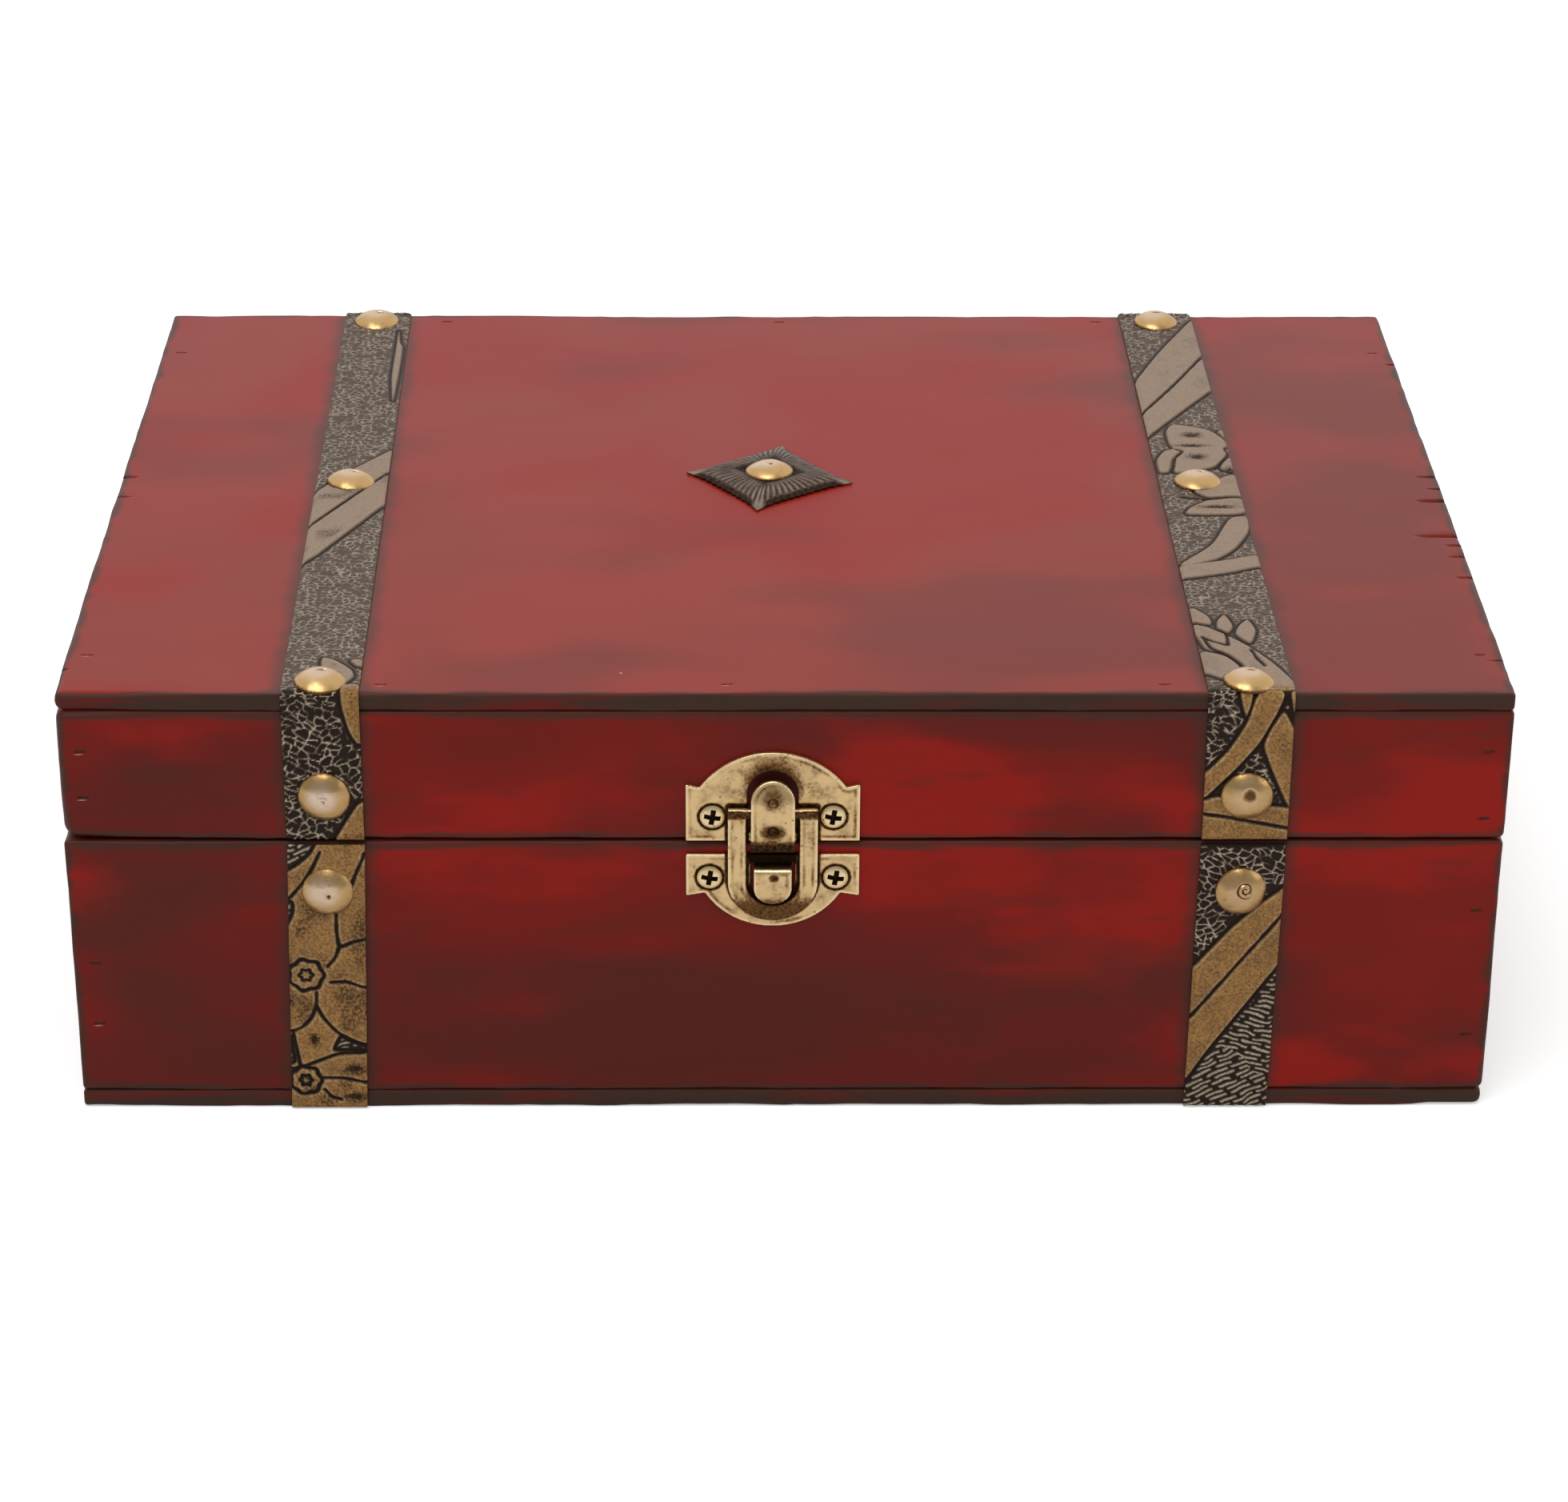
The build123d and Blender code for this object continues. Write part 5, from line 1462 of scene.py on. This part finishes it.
def screw_template(radius, crown):
    """An oval head with a cross recess and a short shank, whose crown is at 0."""
    shares = np.linspace(1, 0, 40)[:-1]
    profile = [(0, -2.4), (0.9, -2.4), (0.9, -crown - 1.1), (radius - 0.04, -crown - 0.05)]
    profile += [(radius * share, -crown * share**2.2) for share in shares] + [(0, 0)]
    arm, slot = radius * 0.6, radius * 0.16

    def from_cross(points):
        """How far each place is outside the cross; less than 0 in it."""
        x, y = np.abs(points[:, :2]).T
        return np.minimum(np.maximum(x - arm, y - slot), np.maximum(y - arm, x - slot))

    def recessed(points):
        on_head = points[:, 2] > -crown - 0.04
        sunk = points.copy()
        sunk[:, 2] -= 0.55 * ease(0.06, -0.12, from_cross(points)) * on_head
        return sunk

    # Painted shade in the cross recess and at the rim, where the head meets the plate.
    def shaded_and_dirty(points):
        away = np.hypot(points[:, 0], points[:, 1])
        return np.maximum(1.2 * ease(0.14, -0.04, from_cross(points)), ease(radius - 0.18, radius, away))

    # The pale crown is rubbed wear and also a painted highlight.
    masks = {"grime_and_shade": shaded_and_dirty, "rubbed": lambda p: ease(radius - 0.2, radius - 0.6, np.hypot(p[:, 0], p[:, 1]))}
    return turned_profile("screw_template", profile, SCREW_CORNERS, None, masks, recessed)


class CHEST_OT_tacks(bpy.types.Operator):
    """Set the domed tacks on the straps and on the diamond."""

    bl_idname = "chest.tacks"
    bl_label = "Tacks"

    @staticmethod
    def kind(place, facing, body):
        """The mark on the tack at this place: slots on top, dimples and curls down the faces."""
        if facing == UP:
            return PLAIN_DIMPLE if abs(place[0]) < 10 else SLOT_DIMPLE
        left_side = place[0] < 0
        if body == "lid":
            return FAINT_CURL if left_side else BROAD_DIMPLE
        return PLAIN_DIMPLE if left_side else CURL

    def execute(self, context):
        settings = context.scene.chest_fasteners
        brass = make_materials(context.scene)["tack"]
        tree = setting_tree()
        low, high = islands("diamond_tack")[0]
        radius = (high[0] - low[0]) / 2
        height = high[2] - node_box("diamond_plate")[1][2]
        heads = [tack_template(kind, settings, height, radius) for kind in sorted(MARK_PLACES)]
        templates = template_set("tacks", heads)
        sets = (
            ("lid_tacks", "lid", (("lid_top_tacks", UP), ("lid_front_tacks", FRONT), ("lid_back_tacks", BACK))),
            ("base_tacks", "base", (("base_front_tacks", FRONT), ("base_back_tacks", BACK))),
            ("diamond_tack_head", "lid", (("diamond_tack", UP),)),
        )
        for name, body, groups in sets:
            spots = [spot for node, facing in groups for spot in spots_of(node, facing)]
            spots = [(place, facing, self.kind(place, facing, body)) for place, facing, _ in spots]
            nodes = [node for node, facing in groups]
            set_fasteners(
                name, tree, spots, templates, settings, math.pi / 9, settings.tilt, brass, body, nodes
            )
        clear_templates(templates)
        made_once["setting_tree"] = tree
        return {"FINISHED"}


class CHEST_OT_screws(bpy.types.Operator):
    """Set the latch's and the hinges' screws."""

    bl_idname = "chest.screws"
    bl_label = "Screws"

    def execute(self, context):
        settings = context.scene.chest_fasteners
        brass = make_materials(context.scene)["screw"]
        tree = made_once["setting_tree"]
        sets = (
            ("latch_lid_screws", "lid", FRONT, LATCH_CROWN, "latch_screw"),
            ("latch_base_screws", "base", FRONT, LATCH_CROWN, "latch_screw"),
            ("hinge_lid_screws", "lid", BACK, HINGE_CROWN, "hinge_brass"),
            ("hinge_base_screws", "base", BACK, HINGE_CROWN, "hinge_brass"),
        )
        for node, body, facing, crown, slot in sets:
            low, high = islands(node)[0]
            radius = (high[0] - low[0]) / 2
            templates = template_set(node, [screw_template(radius, crown)])
            spots = spots_of(node, facing)
            set_fasteners(
                node + "_heads", tree, spots, templates, settings, math.radians(16), 0.0, brass, body, [node]
            )
            clear_templates(templates)
        return {"FINISHED"}


# Diamond: mesh cells along a side, flutes on a side, and the share by which a side is drawn in
DIAMOND_CELLS, DIAMOND_FLUTES, DIAMOND_PULL = 150, 13.0, 0.08


class CHEST_OT_diamond(bpy.types.Operator):
    """Make the fluted diamond under the middle tack."""

    bl_idname = "chest.diamond"
    bl_label = "Diamond"

    def execute(self, context):
        pewter = make_materials(context.scene)["pewter"]
        low, high = node_box("diamond_plate")
        middle = (low + high) / 2
        corners = np.array([v.co[:] for v in frame["nodes"]["diamond_plate"].data.vertices]) / MM - middle
        reach = np.hypot(corners[:, 0], corners[:, 1])
        tip = corners[np.argmax(reach)]
        half, turn = reach.max(), math.atan2(tip[1], tip[0])
        rise = high[2] - low[2]
        count = DIAMOND_CELLS
        line = np.sin(np.linspace(-1, 1, count + 1) * math.pi / 2 * 0.96) / math.sin(math.pi / 2 * 0.96)
        a, b = (values.ravel() for values in np.meshgrid(line, line, indexing="ij"))
        out = np.maximum(np.abs(a), np.abs(b))
        slide = np.where(out > 1e-6, np.minimum(np.abs(a), np.abs(b)) / np.maximum(out, 1e-6), 0)
        signed = np.where(np.abs(a) > np.abs(b), b * np.sign(a), a * np.sign(b)) / np.maximum(out, 1e-6)
        flutes = np.cos(signed * math.pi * DIAMOND_FLUTES + 0.5 * np.sin(5 * signed))
        pull = 1 - (DIAMOND_PULL + 0.012 * flutes) * (1 - slide**5) * out
        x = (a + b) / 2 * half * pull
        y = (a - b) / 2 * half * pull
        crown = 0.4
        body = 1 - np.clip((out - 0.35) / 0.65, 0, 1) ** 3.6
        tip_share = ease(0.5, 0.95, out * slide)
        height = rise * (0.2 + 0.78 * body)
        height -= rise * 0.3 * tip_share * body
        height -= 0.2 * ease(crown + 0.08, crown - 0.06, out)
        height += 0.07 * flutes * ease(crown, crown + 0.2, out) * ease(1.02, 0.9, out) * (1 - 0.8 * tip_share)
        flat = np.stack([x, y], -1)
        height += 0.06 * soft_noise(flat, 1.5, 31) + 0.03 * soft_noise(flat, 0.6, 32)
        height = np.clip(height, 0.25, rise)
        cos, sin = math.cos(turn), math.sin(turn)

        def turned(z):
            return np.stack([middle[0] + cos * x - sin * y, middle[1] + sin * x + cos * y, low[2] + z], -1)

        index = np.arange(len(a)).reshape(count + 1, count + 1)
        under = index + len(a)
        faces = grid_faces(index).tolist() + grid_faces(under)[:, ::-1].tolist()
        ring = np.concatenate([index[0, :-1], index[:-1, -1], index[-1, :0:-1], index[:0:-1, 0], index[:1, 0]])
        faces += grid_faces(np.stack([ring, ring + len(a)])).tolist()
        points = np.concatenate([turned(height), turned(np.maximum(height - 0.5, 0.0) * (out < 0.97))])
        patchy = 0.5 + 0.5 * soft_noise(flat, 1.8, 33)
        # Painted shade and highlight: the flutes' valleys are darkened, the recess round the tack and the flanks are
        # shaded, and the ridges, edges and tips are made pale.
        valley = ease(0.3, -0.9, flutes) * ease(crown, crown + 0.2, out)
        tips = ease(0.74, 0.92, out) * ease(0.78, 0.94, slide)
        grime_and_shade = np.maximum(0.34 * valley * (0.5 + patchy), 0.75 * ease(crown + 0.2, crown - 0.1, out))
        grime_and_shade = np.maximum(grime_and_shade, 0.6 * ease(0.84, 0.96, out) * (1 - tips))
        edge_highlight = 0.25 * ease(0.8, 1.0, out) * patchy
        rubbed = 0.75 * ease(0.3, 1.0, flutes) * patchy * ease(crown, 0.7, out)
        rubbed = np.maximum(rubbed, np.maximum(edge_highlight, 0.5 * tips))
        masks = {"grime_and_shade": np.concatenate([grime_and_shade, grime_and_shade]), "rubbed": np.concatenate([rubbed, rubbed])}
        piece = make_piece("diamond_fluted", points, faces, pewter, masks)
        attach(piece, "lid")
        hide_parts("diamond_plate")
        return {"FINISHED"}


# Latch and hinges: sheet metal with softened edges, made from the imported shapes
def softened(node, voxel, rounds):
    """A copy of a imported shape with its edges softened, as a plain object."""
    shell = merged_copy(node)
    bmesh.ops.scale(shell, vec=(MM,) * 3, verts=shell.verts)
    mesh = bpy.data.meshes.new(node + "_soft")
    shell.to_mesh(mesh)
    shell.free()
    piece = bpy.data.objects.new(node + "_soft", mesh)
    bpy.context.scene.collection.objects.link(piece)
    remesh = piece.modifiers.new("Remesh", "REMESH")
    remesh.mode = "VOXEL"
    remesh.voxel_size = voxel * MM
    smooth = piece.modifiers.new("Smooth", "SMOOTH")
    smooth.iterations = rounds
    view = bpy.context.evaluated_depsgraph_get()
    plain = bpy.data.meshes.new_from_object(piece.evaluated_get(view), depsgraph=view)
    piece.modifiers.clear()
    piece.data = plain
    return piece


def curvature(mesh, rounds):
    """How far each vertex stands out of (more than 0) or lies in (less than 0) its surroundings."""
    count = len(mesh.vertices)
    place, normal = np.empty(count * 3), np.empty(count * 3)
    mesh.vertices.foreach_get("co", place)
    mesh.vertices.foreach_get("normal", normal)
    place, normal = place.reshape(-1, 3) / MM, normal.reshape(-1, 3)
    pairs = np.empty(len(mesh.edges) * 2, np.int64)
    mesh.edges.foreach_get("vertices", pairs)
    pairs = pairs.reshape(-1, 2)
    links = np.maximum(np.bincount(pairs.ravel(), minlength=count), 1)

    def spread(values):
        total = np.stack(
            [
                np.bincount(pairs[:, 0], values[pairs[:, 1], k], count)
                + np.bincount(pairs[:, 1], values[pairs[:, 0], k], count)
                for k in range(values.shape[1])
            ],
            -1,
        )
        return total / links[:, None]

    stands = ((place - spread(place)) * normal).sum(1, keepdims=True)
    for _ in range(rounds):
        stands = 0.5 * stands + 0.5 * spread(stands)
    return place, normal, stands[:, 0]


def nearest(places, queries):
    """How far each query is from the nearest of the places."""
    tree = KDTree(len(places))
    for number, place in enumerate(places):
        tree.insert(place, number)
    tree.balance()
    return np.array([tree.find(query)[2] for query in queries])


def flat_outline(piece):
    """A piece's points, laid flat on the front of the box."""
    return [(vert.co.x / MM, 0, vert.co.z / MM) for vert in piece.data.vertices]


# The unit, in millimetres, in which a vertex's height over its surroundings is judged
STANDS_UNIT = 0.02


def sheet_metal(node, settings, material, rounds=5, dirt=None):
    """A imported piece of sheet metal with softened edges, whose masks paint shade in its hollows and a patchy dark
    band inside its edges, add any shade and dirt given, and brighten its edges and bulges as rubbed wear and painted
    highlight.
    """
    piece = softened(node, settings.cell, rounds)
    mesh = piece.data
    place, normal, stands = curvature(mesh, 6)
    # Painted shade: the hollows of the surface are darkened as if occluded.
    grime_and_shade = ease(0.25, 1.6, -stands / STANDS_UNIT)
    on_side = np.abs(normal[:, 1]) < 0.6
    rim = nearest(place[on_side], place)
    # Rubbed edges and bulges, brightened partly as wear and partly as a painted highlight.
    rubbed = np.maximum(ease(0.2, 1.2, stands / STANDS_UNIT), 0.9 * ease(0.5, 0.15, rim))
    patchy = 0.12 + 0.3 * ease(-0.3, 0.5, soft_noise(place, 3.0, 51))
    grime_and_shade = np.maximum(grime_and_shade, patchy * ease(0.35, 0.6, rim) * ease(1.25, 0.75, rim))
    if dirt is not None:
        shade_and_dirt = dirt(place)
        grime_and_shade = np.maximum(grime_and_shade, shade_and_dirt)
        rubbed = rubbed * (1 - np.clip(shade_and_dirt, 0, 1))
    write_masks(mesh, {"grime_and_shade": grime_and_shade, "rubbed": rubbed})
    mesh.shade_smooth()
    mesh.materials.clear()
    mesh.materials.append(material)
    piece.name = node + "_aged"
    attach(piece, frame["nodes"][node]["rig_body"])
    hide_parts(node)
    return piece


# Heights in millimetres on the lower plate: painted shadow in the window over the catch grows dark upwards over the
# first pair, the catch's dimple is at the next, and painted shade on its low end grows dark downwards over the last
# pair
CATCH_WINDOW, CATCH_DIMPLE, CATCH_END = (43.4, 43.9), 42.2, (39.4, 37.6)


class CHEST_OT_latch(bpy.types.Operator):
    """Make the latch's plates and its ring."""

    bl_idname = "chest.latch"
    bl_label = "Latch"

    def execute(self, context):
        settings = context.scene.chest_metal
        brass = make_materials(context.scene)["brass"]

        ring_low, ring_high = node_box("hasp")
        middle = (ring_low[0] + ring_high[0]) / 2
        swing = next(joint for joint in frame["joints"] if joint["name"] == "hasp_swing")
        axis_z = swing["pos_m"][2] / MM
        face = front_y - settings.plate

        def spot(place, x, z, half_x, half_z):
            return ease(1.25, 0.35, np.hypot((place[:, 0] - x) / half_x, (place[:, 2] - z) / half_z))

        # Painted shade: a dark ring round each screw head where it sits on the plate.
        def shade_round_screws(place, node):
            rings = [
                ease(2.6, 2.1, np.hypot(place[:, 0] - (low[0] + high[0]) / 2, place[:, 2] - (low[2] + high[2]) / 2))
                for low, high in islands(node)
            ]
            return np.max(rings, axis=0)

        # Painted shadow of the ring on the plate, along the ring's outline.
        def ring_shadow_on_plate(place):
            on_plate = place[:, 1] > face - 0.35
            flat = place * np.array([1, 0, 1])
            return 0.95 * ease(0.75, 0.15, nearest(outline, flat)) * on_plate

        # Painted shade on the lid plate: the tongue's dimples and its foot, and a halo round its tip.
        def lid_shade_and_dirt(place):
            on_tongue = place[:, 1] < face - 0.9
            tongue = 0.5 * spot(place, middle, axis_z + 2.9, 2.0, 2.3)
            tongue = np.maximum(tongue, 0.75 * spot(place, middle, axis_z - 2.5, 2.3, 1.5))
            tongue = np.maximum(tongue, 0.9 * ease(axis_z - 3.4, axis_z - 4.9, place[:, 2]))
            halo = 0.75 * spot(place, middle, axis_z + 4.2, 5.2, 5.4) * ~on_tongue
            dirt = np.maximum(shade_round_screws(place, "latch_lid_screws"), np.maximum(ring_shadow_on_plate(place), halo))
            return np.where(on_tongue, tongue, dirt)

        # Painted shade on the lower plate: the window over the catch, and the catch's dimple and low end.
        def base_shade_and_dirt(place):
            catch = place[:, 1] < face - 0.9
            window_shadow = 1.4 * ease(3.9, 3.4, np.abs(place[:, 0] - middle)) * ease(*CATCH_WINDOW, place[:, 2])
            dimple = 0.8 * spot(place, middle + 0.2, CATCH_DIMPLE, 0.9, 0.8)
            low_end = 0.5 * ease(*CATCH_END, place[:, 2])
            dirt = np.maximum(shade_round_screws(place, "latch_base_screws"), np.maximum(ring_shadow_on_plate(place), window_shadow))
            return np.where(catch, np.maximum(dimple, np.maximum(low_end, window_shadow)), dirt)

        # Painted shade on the ring: its lower bar, partly patina, its inner edges, and the shadow under the lid plate.
        def ring_shade_and_dirt(place):
            bar = 0.62 * ease(ring_low[2] + 5.2, ring_low[2] + 2.6, place[:, 2])
            inner = 0.5 * ease(4.6, 3.9, np.abs(place[:, 0] - middle)) * (place[:, 2] < axis_z - 1)
            shadow = 0.7 * ease(axis_z - 1.3, axis_z - 0.3, place[:, 2]) * (np.abs(place[:, 0] - middle) > 3.2)
            return np.maximum(bar, np.maximum(inner, shadow * (place[:, 2] < axis_z + 0.6)))

        ring = sheet_metal("hasp", settings, brass, dirt=ring_shade_and_dirt)
        outline = flat_outline(ring)
        sheet_metal("latch_lid_plate", settings, brass, dirt=lid_shade_and_dirt)
        sheet_metal("latch_base_plate", settings, brass, dirt=base_shade_and_dirt)
        return {"FINISHED"}


class CHEST_OT_hinges(bpy.types.Operator):
    """Make the two butt hinges."""

    bl_idname = "chest.hinges"
    bl_label = "Hinges"

    def execute(self, context):
        settings = context.scene.chest_metal
        brass = make_materials(context.scene)["brass"]
        for side in ("left", "right"):
            for leaf in ("base", "lid"):
                sheet_metal(f"hinge_{leaf}_leaf_{side}", settings, brass, 3)
            sheet_metal(f"hinge_pin_{side}", settings, brass, 2)
        return {"FINISHED"}


class CHEST_OT_brads(bpy.types.Operator):
    """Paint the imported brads."""

    bl_idname = "chest.brads"
    bl_label = "Brads"

    def execute(self, context):
        steel = make_materials(context.scene)["steel"]
        for node in BRAD_AXES:
            for slot in frame["nodes"][node].material_slots:
                slot.material = steel
        return {"FINISHED"}


# Stage
def area_lamp(name, place, aim, size, power):
    """A square soft lamp at a place, turned to a point, both in metres."""
    data = bpy.data.lights.new(name, "AREA")
    data.shape = "SQUARE"
    data.size = size
    data.energy = power
    lamp = bpy.data.objects.new(name, data)
    lamp.location = place
    lamp.rotation_mode = "QUATERNION"
    lamp.rotation_quaternion = (Vector(aim) - Vector(place)).to_track_quat("-Z", "Y")
    bpy.context.scene.collection.objects.link(lamp)


def photo_camera(settings):
    """The camera at the photograph's place and angle."""
    pitch, yaw, roll = settings.pitch, settings.yaw, settings.roll
    forward = Vector((math.sin(yaw) * math.cos(pitch), math.cos(yaw) * math.cos(pitch), -math.sin(pitch)))
    right = Vector((math.cos(yaw), -math.sin(yaw), 0))
    up = right.cross(forward)
    leaned_right = math.cos(roll) * right + math.sin(roll) * up
    leaned_up = -math.sin(roll) * right + math.cos(roll) * up
    turn = Matrix((leaned_right, leaned_up, -forward)).transposed().to_4x4()
    data = bpy.data.cameras.new("camera")
    data.sensor_width = 36
    data.lens = settings.focal * data.sensor_width
    data.clip_start, data.clip_end = 0.05, 20
    camera = bpy.data.objects.new("camera", data)
    camera.matrix_world = Matrix.Translation(Vector(settings.place) * MM) @ turn
    bpy.context.scene.collection.objects.link(camera)
    bpy.context.scene.camera = camera


def floor_material(settings):
    """A pale matt floor that shows white to the camera and keeps the shadow."""
    material, graph, shader = new_material("pale_floor")
    graph.feed(shader["Base Color"], settings.floor)
    shader["Roughness"].default_value = 0.9
    shader["Specular IOR Level"].default_value = 0.0
    seen = graph.node("ShaderNodeLightPath").outputs["Is Camera Ray"]
    graph.feed(shader["Emission Strength"], graph.times(seen, 0.42))
    shader["Emission Color"].default_value = (1, 1, 1, 1)
    return material


def studio_world(settings):
    """Even soft light, with a white background for the camera and for reflections."""
    world = bpy.data.worlds.new("studio")
    bpy.context.scene.world = world
    world.use_nodes = True
    graph = Graph(world.node_tree)
    background = world.node_tree.nodes["Background"].inputs
    path = graph.node("ShaderNodeLightPath").outputs
    white = graph.math("MAXIMUM", path["Is Camera Ray"], path["Is Transmission Ray"])
    direction = graph.node("ShaderNodeTexCoord").outputs["Generated"]
    towards = graph.node("ShaderNodeSeparateXYZ", None, {"Vector": direction})
    behind = graph.step(towards.outputs[1], -0.35, 0.25)
    mirrored = graph.line(behind, 1 - settings.room, settings.room)
    mirrored = graph.times(mirrored, path["Is Glossy Ray"])
    seen = graph.math("MAXIMUM", white, mirrored)
    hidden = graph.math("MAXIMUM", white, path["Is Glossy Ray"])
    even = graph.times(graph.math("SUBTRACT", 1.0, hidden), settings.world)
    background["Color"].default_value = (1, 1, 1, 1)
    graph.feed(background["Strength"], graph.math("ADD", seen, even))


class CHEST_OT_stage(bpy.types.Operator):
    """Make the floor, the light and the camera."""

    bl_idname = "chest.stage"
    bl_label = "Stage"

    def execute(self, context):
        settings = context.scene.chest_stage
        context.scene.view_settings.view_transform = "Standard"
        reach = 6.0
        mesh = bpy.data.meshes.new("floor")
        corners = [(-reach, -reach, 0), (reach, -reach, 0), (reach, reach, 0), (-reach, reach, 0)]
        mesh.from_pydata(corners, [], [(0, 1, 2, 3)])
        mesh.materials.append(floor_material(settings))
        ground = bpy.data.objects.new("floor", mesh)
        context.scene.collection.objects.link(ground)
        studio_world(settings)
        area_lamp("key", (-0.22, -0.4, 1.12), (0, 0, 0.03), 0.7, settings.key)
        area_lamp("fill", (0.9, -0.3, 0.5), (0, 0, 0.03), 0.6, settings.fill)
        photo_camera(settings)
        return {"FINISHED"}


class CHEST_PT_panel(bpy.types.Panel):
    """The chest's steps and settings."""

    bl_label = "Keepsake Chest"
    bl_space_type = "VIEW_3D"
    bl_region_type = "UI"
    bl_category = "Chest"

    def draw(self, context):
        layout = self.layout
        for operator in OPERATORS:
            layout.operator(operator.bl_idname)
        for name in SETTINGS:
            group = getattr(context.scene, name)
            box = layout.box()
            for key in group.bl_rna.properties.keys():
                if key not in ("rna_type", "name"):
                    box.prop(group, key)


SETTINGS = {
    "chest_wood": ChestWood,
    "chest_strap": ChestStrap,
    "chest_metal": ChestMetal,
    "chest_fasteners": ChestFasteners,
    "chest_stage": ChestStage,
}
OPERATORS = (
    CHEST_OT_boards,
    CHEST_OT_straps,
    CHEST_OT_tacks,
    CHEST_OT_screws,
    CHEST_OT_diamond,
    CHEST_OT_latch,
    CHEST_OT_hinges,
    CHEST_OT_brads,
    CHEST_OT_stage,
)


def register():
    for name, group in SETTINGS.items():
        bpy.utils.register_class(group)
        setattr(bpy.types.Scene, name, PointerProperty(type=group))
    for operator in OPERATORS:
        bpy.utils.register_class(operator)
    bpy.utils.register_class(CHEST_PT_panel)


def unregister():
    bpy.utils.unregister_class(CHEST_PT_panel)
    for operator in reversed(OPERATORS):
        bpy.utils.unregister_class(operator)
    for name, group in reversed(SETTINGS.items()):
        delattr(bpy.types.Scene, name)
        bpy.utils.unregister_class(group)


def main():
    """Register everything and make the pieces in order."""
    register()
    bpy.ops.chest.boards()
    bpy.ops.chest.straps()
    bpy.ops.chest.tacks()
    bpy.ops.chest.screws()
    bpy.ops.chest.diamond()
    bpy.ops.chest.latch()
    bpy.ops.chest.hinges()
    bpy.ops.chest.brads()
    bpy.ops.chest.stage()


if __name__ == "__main__":
    main()
